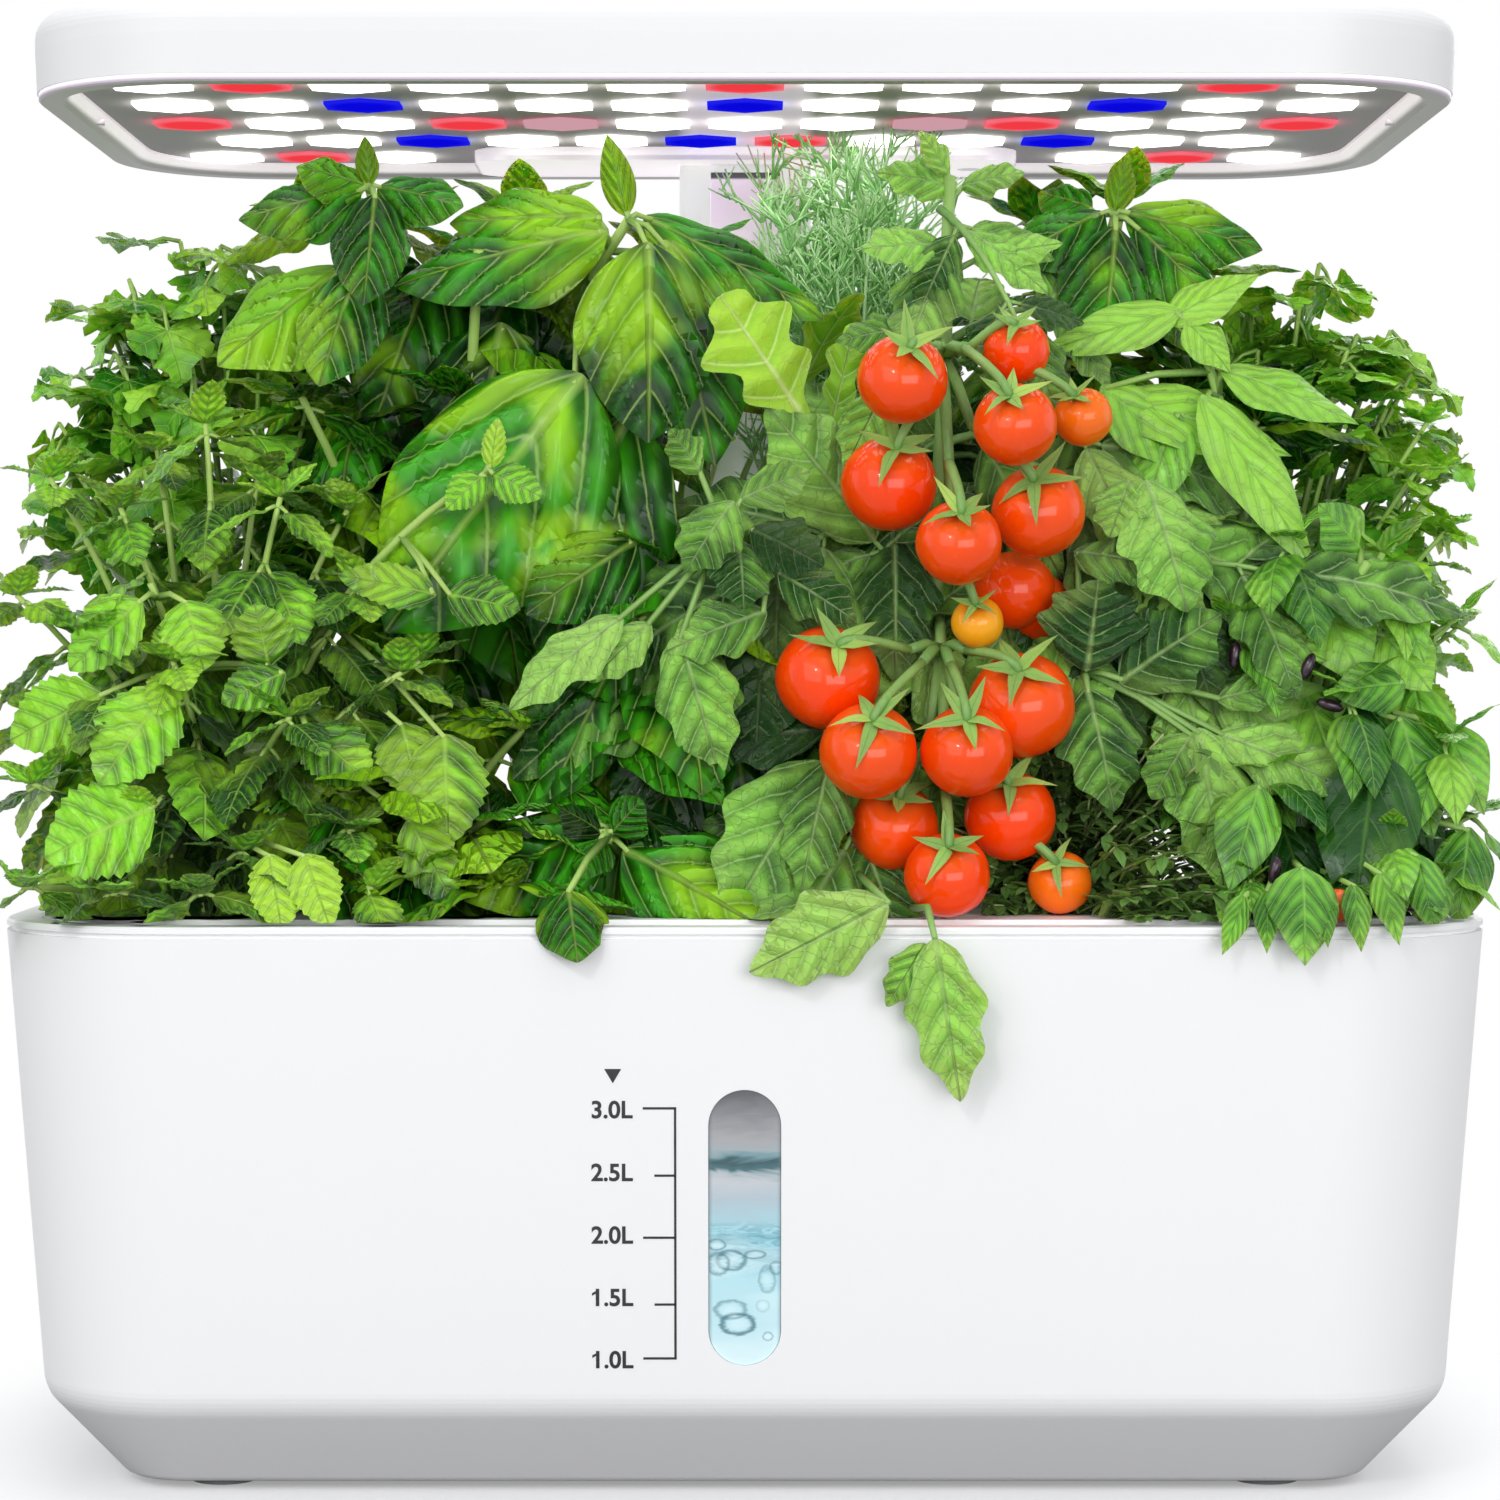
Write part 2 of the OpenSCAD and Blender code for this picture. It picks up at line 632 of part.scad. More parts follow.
// Fruit of the two trusses: x from the pod, height above the deck, whether in the front rank, and radius
truss_front_y = front_y + 10;
truss_back_y = front_y + 22;
truss_back = truss_back_y + 10;
truss_right = pod_x(3) + 43;
upper_truss = [
    [8, 96, 1, 7.8], [29, 102, 0, 5.8], [28, 88, 1, 7.2], [41, 90, 0, 5.2],
    [6, 78, 0, 8.4], [33, 73, 0, 8.2], [18, 67, 1, 7.4], [22, 53, 0, 4.6]
];
lower_truss = [
    [-5, 43, 0, 9.2], [30, 38, 0, 9.4], [2, 30, 1, 8.4], [19.5, 30, 1, 8],
    [7, 16, 0, 7.8], [28, 18, 0, 8], [16, 8, 1, 7.4], [37, 6, 0, 5.6]
];
upper_truss_z = plateau_z + 102;
lower_truss_z = plateau_z + 48;

function fruit_centre(f) = [pod_x(3) + f[0], f[2] == 1 ? truss_front_y : truss_back_y, plateau_z + f[1]];

// A stalk from one point to another
module stalk_between(a, b, d0, d1) {
    way = b - a;
    translate(a) rotate([0, 0, atan2(way[1], way[0])]) rotate([0, acos(way[2] / norm(way)), 0])
        stalk(norm(way), d0, d1);
}

// The truss's main stalk runs down from the stem behind the fruit, and each fruit hangs by its own
module truss_stalks(fruits, top) {
    knot = [tomato_stem_x, truss_back_y + 11, top];
    stalk_between([tomato_stem_x + 1, tomato_stem_y, top + 6], knot, 3, 2);
    for (f = fruits) {
        c = fruit_centre(f);
        heel = [knot[0] + (c[0] - knot[0]) * 0.25, knot[1], min(c[2] + f[3] + 2, top)];
        tip = c + unit(heel - c) * (f[3] - 0.5);
        stalk_between(knot, heel, 2, 1.6);
        stalk_between(heel, tip, 1.6, 1.2);
    }
}

module tomatoes() {
    color([0.86, 0.16, 0.06]) for (f = concat(upper_truss, lower_truss))
        translate(fruit_centre(f)) sphere(r = f[3]);
}

module plant_tomato() {
    base = [pod_x(3), pod_y(3), plug_top];
    crook = [tomato_stem_x, tomato_stem_y, crook_z];
    color([0.2, 0.5, 0.14]) difference() {
        union() {
            rooted(3);
            within(pod_x(3) - cell_w, pod_x(3) + cell_w, truss_back_y, row_split - cell_gap) {
                stalk_between(base, crook, 3.6, 3.2);
                translate(base) {
                    stalked_leaf(2, 150, 22, 3, 16, 14);
                    stalked_leaf(2, 60, 14, 2, 18, 14);
                }
            }
            within(pod_x(3) - cell_w, truss_right + 14, truss_back_y, row_split - cell_gap, crown_top, crook_z - 2) {
                stalk_between(crook, [tomato_stem_x + 2, tomato_stem_y, crook_z + 106], 3.2, 2);
                translate([tomato_stem_x + 1, tomato_stem_y, crook_z]) for (k = [0:8])
                    stalked_leaf(8 + 11 * k, 20 + golden_turn * k, 8, 5, 30 - k, 23 - k);
            }
            within(pod_x(3) - cell_w, truss_right, front_y, tomato_stem_y) {
                truss_stalks(upper_truss, upper_truss_z);
                truss_stalks(lower_truss, lower_truss_z);
            }
        }
        for (f = concat(upper_truss, lower_truss))
            translate(fruit_centre(f)) sphere(r = f[3]);
    }
}

// A stalk that carries a fan of three leaflets
module fan(lean, heading, h, l, w) {
    rotate([0, 0, heading]) rotate([0, lean, 0]) {
        stalk(h, 2.2, 1.6);
        translate([0, 0, h - 1]) for (a = [-70, 0, 70]) rotate([0, 0, a]) rotate([0, -18, 0]) leaf(l, w, 0, 0.5, 1.1, 3);
    }
}

module parsley(lean_out) {
    for (k = [0:11])
        fan(5 + 4 * (k % 5), golden_turn * k + lean_out, 62 + 6 * k, 20, 17);
}

module plant_parsley_left() {
    color([0.2, 0.5, 0.1]) {
        rooted(6);
        within(-side_x, pod_x(6) + cell_w, row_split + cell_gap, back_row + 30) at_pod(6) parsley(170);
    }
}

module plant_parsley_right() {
    color([0.2, 0.5, 0.1]) {
        rooted(11);
        within(pod_x(11) - cell_w, side_x, row_split + cell_gap, back_row + 30) at_pod(11) parsley(40);
    }
}

module plant_tall_basil() {
    color([0.22, 0.52, 0.1]) {
        rooted(7);
        within(pod_x(7) - cell_w, pod_x(7) + cell_w, row_split + cell_gap, back_row + 30) at_pod(7) {
            shoot(0, 0, 136, 44, 17, 5, 3, 27, 23, 12, 40, 3.6);
            shoot(13, 90, 126, 64, 20, 3, 3, 24, 20, 8, 0);
        }
        // the upper shoots reach over the low basil in front
        within(pod_x(7) - cell_w, pod_x(8) - cell_gap, front_y, row_split + 6, crown_top, low_crown + 18)
            translate([pod_x(7), back_row, low_crown + 16]) {
                shoot(42, 270, 96, 34, 15, 4, 2, 25, 21, 24, 45);
                shoot(30, 285, 96, 44, 15, 3, 2, 24, 20, 24, 0);
                shoot(36, 305, 88, 30, 18, 3, 2, 32, 28, 20, 60);
            }
    }
}

module plant_rocket() {
    color([0.42, 0.66, 0.16]) {
        rooted(8);
        within(pod_x(8) - cell_w, pod_x(8) + cell_w, row_split + 7, mast_foot_front - cell_gap) at_pod(8)
            for (k = [0:9]) rotate([0, 0, golden_turn * k]) rotate([0, 4 + k % 3 * 3, 0]) {
                stalk(40 + 7 * k, 2.4, 1.8);
                translate([0, 0, 38 + 7 * k]) rotate([0, -76, 0]) leaf(28, 14, 0, 0.2);
            }
    }
}

module plant_dill() {
    color([0.45, 0.68, 0.3]) {
        rooted(9);
        within(pod_x(9) - cell_w, pod_x(9) + cell_w, row_split + cell_gap, mast_foot_front - cell_gap) at_pod(9)
            for (k = [0:6]) rotate([0, 0, golden_turn * k]) rotate([0, 3 + k % 4 * 2.4, 0]) {
                stalk(86 + 7 * k, 1.8, 1.2);
                for (j = [0:3], a = [0, 180]) translate([0, 0, 40 + 6 * k + 11 * j])
                    rotate([0, 0, a + 90 * j]) rotate([0, 50, 0]) stalk(14, 1.4, 1);
            }
    }
}

module plant_back_basil() {
    color([0.2, 0.52, 0.1]) {
        rooted(10);
        within(pod_x(10) - cell_w, pod_x(10) + cell_w, row_split + cell_gap, back_row + 30) at_pod(10) {
            shoot(0, 0, 126, 36, 18, 5, 3, 27, 22, 10, 20, 3.6);
            shoot(12, 80, 114, 54, 22, 3, 3, 25, 20, 4, 60);
            shoot(11, 25, 118, 44, 22, 3, 3, 26, 22, 6, 40);
        }
    }
}

// ---------------------------------------------------------------- pump

pump_z = floor_z + pump_clear + 2;
pump_top = pump_z + pump_h;
impeller_z = pump_z + 3;
shaft_d = 2.4;

module pump_hanger() {
    color(white_abs) difference() {
        union() {
            centred_box(16, 12, pump_top, deck_under_z, mast_y);
            slab_at(26, 20, 3, pump_top, pump_top + 2.4, mast_y);
            slab_at(26, 20, 3, deck_under_z - 2.4, deck_under_z, mast_y);
        }
        translate([0, mast_y, pump_top - 1]) cylinder(h = deck_under_z - pump_top + 2, d = 8);
    }
}

module slab_at(w, d, r, z0, z1, y) {
    translate([0, y, 0]) slab(w, d, r, z0, z1);
}

module pump_housing() {
    chamber_r = impeller_d / 2 + 1.4;
    color([0.2, 0.21, 0.22]) difference() {
        union() {
            slab_at(pump_w, pump_d, 5, pump_z, pump_top, mast_y);
            // outlet nozzle, pointing left
            translate([-pump_w / 2 - 8, mast_y, pump_z + pump_h * 0.62]) rotate([0, 90, 0]) cylinder(h = 10, d = 9);
            for (x = [-1, 1], y = [-1, 1]) translate([x * (pump_w / 2 - 8), mast_y + y * (pump_d / 2 - 7), pump_z - 2])
                cylinder(h = 3, d1 = 9, d2 = 7);
        }
        // pump chamber, open at the front for the grille
        translate([0, mast_y, pump_z + 2]) cylinder(h = impeller_h + 2, r = chamber_r);
        centred_box(pump_w - 10, pump_d / 2 - 4, pump_z + 2, pump_z + 4 + impeller_h, mast_y - pump_d / 4 - 2.01);
        // passage to the nozzle
        translate([-pump_w / 2 - 9, mast_y, pump_z + pump_h * 0.62]) rotate([0, 90, 0]) cylinder(h = 22, d = 6);
        translate([-12, mast_y, pump_z + 6]) cylinder(h = pump_h * 0.62 - 5, d = 5);
        // lead and motor bay
        translate([0, mast_y, pump_top - 6]) cylinder(h = 8, d = 8);
        // bearing for the impeller's shaft
        translate([0, mast_y, pump_z + 0.8]) cylinder(h = pump_h - 9, r = shaft_d / 2 + 0.05);
    }
}

impeller_h = 9;

module pump_impeller() {
    color([0.85, 0.86, 0.88]) translate([0, mast_y, 0]) {
        translate([0, 0, pump_z + 1]) cylinder(h = impeller_h + 6, d = shaft_d);
        translate([0, 0, impeller_z]) cylinder(h = 1.2, d = impeller_d);
        translate([0, 0, impeller_z]) cylinder(h = impeller_h - 1, d = 7);
        for (k = [0:impeller_blades - 1]) rotate([0, 0, 360 / impeller_blades * k])
            translate([3, -0.6, impeller_z]) cube([impeller_d / 2 - 3.2, 1.2, impeller_h - 1]);
    }
}

grille_y = mast_y - pump_d / 2;

module pump_grille() {
    slots = 7;
    color([0.24, 0.25, 0.26]) difference() {
        box_between([-pump_w / 2 + 5 + seat, grille_y, pump_z + 2 + seat],
                    [pump_w / 2 - 5 - seat, grille_y + 1.6, pump_z + 4 + impeller_h - seat]);
        for (k = [0:slots - 1]) translate([(k - (slots - 1) / 2) * 4.4, 0, 0])
            box_between([-1.2, grille_y - 1, pump_z + 4], [1.2, grille_y + 3, pump_z + 2 + impeller_h]);
    }
}

module pump_foam() {
    color([0.1, 0.1, 0.11]) box_between(
        [-pump_w / 2 + 5 + seat, grille_y + 1.6, pump_z + 2 + seat],
        [pump_w / 2 - 5 - seat, grille_y + 4.8, pump_z + 4 + impeller_h - seat]);
}

// ---------------------------------------------------------------- mast

jack_z = plateau_z + 8;
jack_d = 8;

foot_y = (mast_foot_back + mast_foot_front) / 2;
foot_screw_d = 3;
foot_screw_bite = 7;

module foot_screw_places() {
    for (x = [-1, 1]) translate([x * (mast_foot_w / 2 - 7), foot_y, 0]) children();
}

module mast_foot() {
    foot_d_y = mast_foot_back - mast_foot_front;
    color(white_abs) difference() {
        union() {
            slab_at(mast_foot_w, foot_d_y, 8, plateau_z, mast_foot_top - 2, foot_y);
            slab_at(mast_foot_w - 3, foot_d_y - 3, 6.5, mast_foot_top - 3, mast_foot_top, foot_y);
        }
        centred_box(mast_w, mast_d, plateau_z - 1, mast_foot_top + 1, mast_y);
        translate([0, mast_foot_back - 11, jack_z]) rotate([-90, 0, 0]) cylinder(h = 12, d = jack_d);
        foot_screw_places() translate([0, 0, plateau_z - 1]) cylinder(h = foot_screw_bite + 2, d = foot_screw_d);
    }
}

module mast() {
    color([0.93, 0.93, 0.94]) difference() {
        centred_box(mast_w, mast_d, plateau_z, mast_top, mast_y);
        centred_box(mast_w - 2 * tube_t, mast_d - 2 * tube_t, plateau_z - 1, mast_top + 1, mast_y);
    }
}

module guide_shoe() {
    color([0.85, 0.85, 0.86]) difference() {
        centred_box(cavity_w - 2 * slide_gap, cavity_d - 2 * slide_gap, mast_top - guide_h, mast_top, mast_y);
        centred_box(mast_w, mast_d, mast_top - guide_h - 1, mast_top + 1, mast_y);
    }
}

// Low-voltage socket in the back of the mast foot, with its centre contact
module dc_jack() {
    color([0.1, 0.1, 0.11]) translate([0, mast_foot_back - 11, jack_z]) rotate([-90, 0, 0]) {
        difference() {
            cylinder(h = 11, d = jack_d);
            translate([0, 0, 1.5]) cylinder(h = 10, d = 5.7);
        }
        cylinder(h = 10, d = 2.1);
    }
}

// Screws from under the deck up into the mast's foot
module foot_screws() {
    head_h = 1.6;
    color([0.6, 0.6, 0.62]) foot_screw_places() translate([0, 0, deck_under_z - head_h]) {
        cylinder(h = head_h, d = 5.6);
        cylinder(h = head_h + deck_t + foot_screw_bite, d = foot_screw_d);
    }
}

// ---------------------------------------------------------------- lamp

post_top = lamp_roof;

module lamp_post() {
    post_y = post_front_y + post_d / 2;
    color(white_abs) difference() {
        slab_at(post_w, post_d, 2, post_z, post_top, post_y);
        centred_box(cavity_w, cavity_d, post_z - 1, post_top - 2, mast_y);
        box_between([-groove_w / 2, post_front_y - 1, post_z - 1],
                    [groove_w / 2, post_front_y + groove_depth, lamp_z]);
    }
}

module post_cover_strip() {
    color([0.93, 0.9, 0.92]) box_between(
        [-groove_w / 2 + seat, post_front_y + groove_depth - 1, post_z],
        [groove_w / 2 - seat, post_front_y + groove_depth, lamp_z - 1.6]);
}

module post_bush() {
    color([0.8, 0.8, 0.82]) difference() {
        centred_box(cavity_w, cavity_d, post_z, post_z + guide_h, mast_y);
        centred_box(mast_w + 2 * slide_gap, mast_d + 2 * slide_gap, post_z - 1, post_z + guide_h + 1, mast_y);
    }
}

module lamp_placed() {
    translate([0, lamp_y, 0]) children();
}

module housing_section() {
    low = [lamp_r - bezel_in * 0.5, lamp_z + bezel_t];
    high = [lamp_r, lamp_z + lamp_h * 0.55];
    corner = [lamp_r, lamp_top];
    middle = [lamp_r - 12, lamp_top];
    polygon(concat(
        [low, high], bend(high, corner, middle, lamp_edge_r, 8), [middle, middle - [0, lamp_t]],
        bend(middle - [0, lamp_t], corner - [lamp_t, lamp_t], high - [lamp_t, 0], lamp_edge_r - lamp_t, 6),
        [high - [lamp_t, 0], low - [lamp_t, 0]]
    ));
}

module button_places() {
    for (s = [-1, 1]) translate([s * button_x, button_y, 0]) children();
}

module lamp_housing() {
    vent_rows = 9;
    color(white_abs) difference() {
        union() {
            lamp_placed() around(lamp_w, lamp_d, lamp_r) housing_section();
            lamp_placed() slab(lamp_w - 24, lamp_d - 24, lamp_r - 12, lamp_roof, lamp_top);
            // bosses that the bezel's screws bite into
            dock_screw_places() translate([0, 0, panel_z]) cylinder(h = lamp_roof - panel_z + 0.1, d = 6);
        }
        button_places() translate([0, 0, lamp_roof - 1]) cylinder(h = lamp_t + 2, d = button_d);
        // vents over the driver and the boards
        for (s = [-1, 1], k = [0:vent_rows - 1])
            translate([s * 62, lamp_y + (k - (vent_rows - 1) / 2) * 6, lamp_roof - 1])
                linear_extrude(lamp_t + 2) {
                    square([34, 2.2], center = true);
                    for (e = [-1, 1]) translate([e * 17, 0]) circle(d = 2.2, $fn = 24);
                }
        dock_screw_places() translate([0, 0, panel_z - 1]) cylinder(h = dock_screw_bite + 2, d = dock_screw_d);
    }
}

// Section of the bezel: flat rim below, a sloped wall up to the ledge that carries the panel
module bezel_section() {
    u = lamp_r - bezel_in;
    polygon([
        [u, lamp_z + 0.3], [u, lamp_z + bezel_t], [u - rim_w + 0.6, lamp_z + bezel_t],
        [u - rim_w - 1.2, panel_z], [u - rim_w - bezel_ledge, panel_z],
        [u - rim_w - bezel_ledge, panel_z - 0.6], [u - rim_w, lamp_z], [u - 0.3, lamp_z]
    ]);
}

module dock_outline(grow = 0) {
    translate([0, lamp_back - bezel_in - rim_w - (dock_d - rim_w) / 2])
        rounded(dock_w + 2 * grow, dock_d - rim_w + 2 * grow, 8 + grow);
}

module post_outline(grow) {
    translate([0, post_front_y + post_d / 2]) rounded(post_w + 2 * grow, post_d + 2 * grow, 2 + grow);
}

dock_screw_d = 2.2;
dock_screw_bite = 7;
dock_screw_head = 1.2;
snap_rib_w = 2.4;
snap_rib_y = -26;

module dock_screw_places() {
    for (x = [-1, 1]) translate([x * (dock_w / 2 - 9), lamp_back - dock_d / 2 - 1, 0]) children();
}

module lamp_bezel() {
    color(soft_grey) difference() {
        union() {
            lamp_placed() around(lamp_w, lamp_d, lamp_r) bezel_section();
            translate([0, 0, lamp_z]) linear_extrude(panel_recess) dock_outline();
            // snap ribs on the side walls
            for (s = [-1, 1]) translate([s * (lamp_w / 2 - bezel_in - rim_w - snap_rib_w / 2), snap_rib_y, 0])
                box_between([-snap_rib_w / 2, -1, lamp_z + 0.6], [snap_rib_w / 2, 1, panel_z]);
        }
        translate([0, 0, lamp_z - 1]) linear_extrude(panel_recess + 2) post_outline(0.2);
        dock_screw_places() translate([0, 0, lamp_z - 1]) {
            cylinder(h = dock_screw_head + 1, d = 5.4);
            cylinder(h = panel_recess + 2, d = dock_screw_d + 0.4);
        }
    }
}

module panel_outline(inset) {
    r = lamp_r - bezel_in - rim_w - 1.6 - inset;
    margin = 2 * (lamp_r - r);
    difference() {
        translate([0, lamp_y]) rounded(lamp_w - margin, lamp_d - margin, r);
        dock_outline(inset - 1.2);
    }
}

module light_panel() {
    color(soft_grey) difference() {
        translate([0, 0, panel_z]) linear_extrude(panel_t) difference() {
            panel_outline(0);
            post_outline(0.4);
        }
        lights("wrbp") translate([0, 0, panel_z - 1]) rotate([0, 0, 30]) cylinder(h = panel_t + 2, r = lens_r + seat, $fn = 6);
    }
}

lens_r = lens_w / sqrt(3);

module lights(colours) {
    for (row = [0:len(light_rows) - 1]) {
        line = light_rows[row];
        for (k = [0:len(line) - 1])
            if (len(search(line[k], colours)) > 0)
                translate([(k - (len(line) - 1) / 2) * light_pitch,
                           lamp_y - lamp_d / 2 + light_first_row + row * light_row_pitch, 0]) children();
    }
}

// Hexagonal lenses, points to the front and back, each with a flange behind the panel
module lenses(colours) {
    lights(colours) rotate([0, 0, 30]) {
        translate([0, 0, panel_z - lens_proud]) cylinder(h = panel_t + lens_proud, r = lens_r, $fn = 6);
        translate([0, 0, panel_top]) cylinder(h = lens_flange, r = lens_r + 0.8, $fn = 6);
    }
}

module white_lenses() {
    color([1, 1, 0.96]) lenses("w");
}

module red_lenses() {
    color([0.95, 0.2, 0.25]) lenses("rp");
}

module blue_lenses() {
    color([0.05, 0.05, 0.85]) lenses("b");
}

module led_board() {
    color([0.85, 0.86, 0.84]) translate([0, 0, board_z]) linear_extrude(board_t) difference() {
        panel_outline(2);
        post_outline(1);
    }
}

module driver_board() {
    color([0.1, 0.35, 0.2]) {
        translate([-45, button_y - 12, driver_z]) cube([90, 44, driver_t]);
        for (x = [-36, 30]) translate([x, button_y + 20, driver_z + driver_t]) cube([8, 8, 2.6]);
        for (x = [-8, 6]) translate([x, button_y + 16, driver_z + driver_t]) cylinder(h = 2.8, d = 6);
        // posts that hold it off the light board
        for (x = [-40, 40], y = [-8, 28]) translate([x, button_y + y, board_z + board_t])
            cylinder(h = driver_z - board_z - board_t, d = 5);
    }
}

switch_top = lamp_roof - button_travel - 3;

module key_switches() {
    color([0.15, 0.15, 0.16]) button_places()
        centred_box(6, 6, driver_z + driver_t, switch_top);
}

module lamp_screws() {
    color([0.6, 0.6, 0.62]) dock_screw_places() translate([0, 0, lamp_z]) {
        cylinder(h = dock_screw_head, d = 5);
        cylinder(h = panel_recess + dock_screw_bite, d = dock_screw_d);
    }
}

// ---------------------------------------------------------------- buttons

module button(side) {
    color([0.88, 0.88, 0.9]) translate([side * button_x, button_y, 0]) {
        translate([0, 0, lamp_roof - 0.2]) cylinder(h = lamp_t + button_proud + 0.2, d = button_d - 0.4);
        translate([0, 0, lamp_roof - 1.2]) cylinder(h = 1.1, d = button_d + 2);
        translate([0, 0, switch_top + button_travel + 0.2]) cylinder(h = lamp_roof - switch_top - button_travel - 0.4, d = button_stem_d);
    }
}

module light_button() {
    button(-1);
}

module pump_button() {
    button(1);
}

tank();
gauge_window();
window_gasket();
rubber_feet();
deck();
filler_lid();
lid_hinge_pin();
basket(0);  // basket_1
basket(1);  // basket_2
basket(2);  // basket_3
basket(3);  // basket_4
basket(4);  // basket_5
basket(5);  // basket_6
basket(6);  // basket_7
basket(7);  // basket_8
basket(8);  // basket_9
basket(9);  // basket_10
basket(10);  // basket_11
basket(11);  // basket_12
grow_plugs();
plant_mint();
plant_low_basil();
plant_broad_basil();
plant_tomato();
tomatoes();
plant_thyme();
plant_pepper();
plant_parsley_left();
plant_tall_basil();
plant_rocket();
plant_dill();
plant_back_basil();
plant_parsley_right();
pump_hanger();
pump_housing();
pump_impeller();
pump_grille();
pump_foam();
mast_foot();
mast();
guide_shoe();
dc_jack();
foot_screws();
lamp_post();
post_cover_strip();
post_bush();
lamp_housing();
lamp_bezel();
light_panel();
white_lenses();
red_lenses();
blue_lenses();
led_board();
driver_board();
key_switches();
lamp_screws();
light_button();
pump_button();
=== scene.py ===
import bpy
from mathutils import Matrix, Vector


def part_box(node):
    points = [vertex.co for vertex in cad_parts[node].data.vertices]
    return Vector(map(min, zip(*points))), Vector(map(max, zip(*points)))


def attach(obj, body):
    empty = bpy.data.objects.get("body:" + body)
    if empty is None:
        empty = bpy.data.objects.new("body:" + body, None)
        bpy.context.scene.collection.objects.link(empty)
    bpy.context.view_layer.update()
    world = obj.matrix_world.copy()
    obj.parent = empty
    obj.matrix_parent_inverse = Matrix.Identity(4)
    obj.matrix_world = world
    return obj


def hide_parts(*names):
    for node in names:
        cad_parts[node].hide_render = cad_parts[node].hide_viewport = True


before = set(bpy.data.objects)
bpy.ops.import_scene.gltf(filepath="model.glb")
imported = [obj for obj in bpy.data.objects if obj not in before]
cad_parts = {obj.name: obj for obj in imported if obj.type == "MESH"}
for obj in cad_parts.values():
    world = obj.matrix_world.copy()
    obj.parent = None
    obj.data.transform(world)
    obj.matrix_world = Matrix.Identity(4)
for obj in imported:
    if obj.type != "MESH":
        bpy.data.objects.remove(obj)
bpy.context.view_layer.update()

import math
from collections import namedtuple
from functools import cache, partial
from random import Random

import bpy
import numpy as np
from mathutils import Matrix, Vector

bl_info = {
    "name": "Countertop Hydroponic Garden",
    "version": (1, 0, 0),
    "blender": (4, 5, 0),
    "location": "3D View > Sidebar > Garden",
    "description": "Finishes, plants, level window, lights and studio of a countertop hydroponic garden",
    "category": "Object",
}

MM = 0.001
PER_MM = 1000.0
# radians from one stalk to the next, so that no two stand in line
GOLDEN_TURN = 2.39996


# ---------------------------------------------------------------- nodes, materials and objects

def linear(colour):
    """Linear RGBA of an sRGB hex code; a colour that is linear already stays as it is."""
    if not isinstance(colour, str):
        return list(colour)
    parts = [int(colour[i:i + 2], 16) / 255 for i in (1, 3, 5)]
    return [p / 12.92 if p <= 0.04045 else ((p + 0.055) / 1.055) ** 2.4 for p in parts] + [1.0]


def put(socket, value):
    """Links a socket from another one, or sets it; a hex code is a colour."""
    if isinstance(value, bpy.types.NodeSocket):
        socket.id_data.links.new(value, socket)
    else:
        socket.default_value = linear(value) if isinstance(value, str) else value


def add_node(tree, kind, *inputs, out=0, stops=(), **settings):
    """An output of a new shader node.

    Inputs fill its sockets in order. Settings are its properties, or its sockets by name. A kind in capitals
    is the operation of a Math node. Mix mixes colours, MapRange eases, and stops are the colours of a ramp.
    """
    if kind.isupper():
        kind, settings["operation"] = "Math", kind
    node = tree.nodes.new("ShaderNode" + kind)
    sockets = dict(enumerate(inputs))
    if kind == "Mix":
        node.data_type = "RGBA"
        sockets, out = dict(zip((0, 6, 7), inputs)), 2
    if kind == "MapRange":
        node.interpolation_type = "SMOOTHSTEP"
    for key, value in settings.items():
        if hasattr(node, key):
            setattr(node, key, value)
        else:
            sockets[key.replace("_", " ")] = value
    for key, value in sockets.items():
        put(node.inputs[key], value)
    for _ in stops[2:]:
        node.color_ramp.elements.new(0.5)
    for k, (place, colour) in enumerate(stops):
        node.color_ramp.elements[k].position = place
        node.color_ramp.elements[k].color = linear(colour)
    return node.outputs[out]


def new_material(name):
    """A material, the function that adds nodes to it, and the place on the object in metres."""
    material = bpy.data.materials.new(name)
    material.use_nodes = True
    add = partial(add_node, material.node_tree)
    return material, add, add("TexCoord", out="Object")


def shade(material, **sockets):
    """The material, with sockets of its shader filled; their names have underscores for spaces."""
    shader = material.node_tree.nodes["Principled BSDF"]
    for key, value in sockets.items():
        put(shader.inputs[key.replace("_", " ")], value)
    return material


def relief(add, place, size_mm, depth_mm):
    """Soft unevenness whose features measure size_mm and stand up to depth_mm high."""
    uneven = add("TexNoise", Vector=place, Scale=PER_MM / size_mm)
    return add("Bump", Height=uneven, Distance=depth_mm * MM)


def new_object(name, data):
    """A new object in the scene."""
    thing = bpy.data.objects.new(name, data)
    bpy.context.scene.collection.objects.link(thing)
    return thing


def new_mesh(name, points, faces, materials):
    """A new mesh with its materials in their slots."""
    mesh = bpy.data.meshes.new(name)
    mesh.from_pydata(points, [], faces)
    for material in materials:
        mesh.materials.append(material)
    return mesh


def dress(name, material):
    """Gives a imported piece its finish."""
    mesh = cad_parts[name].data
    mesh.materials.clear()
    mesh.materials.append(material)


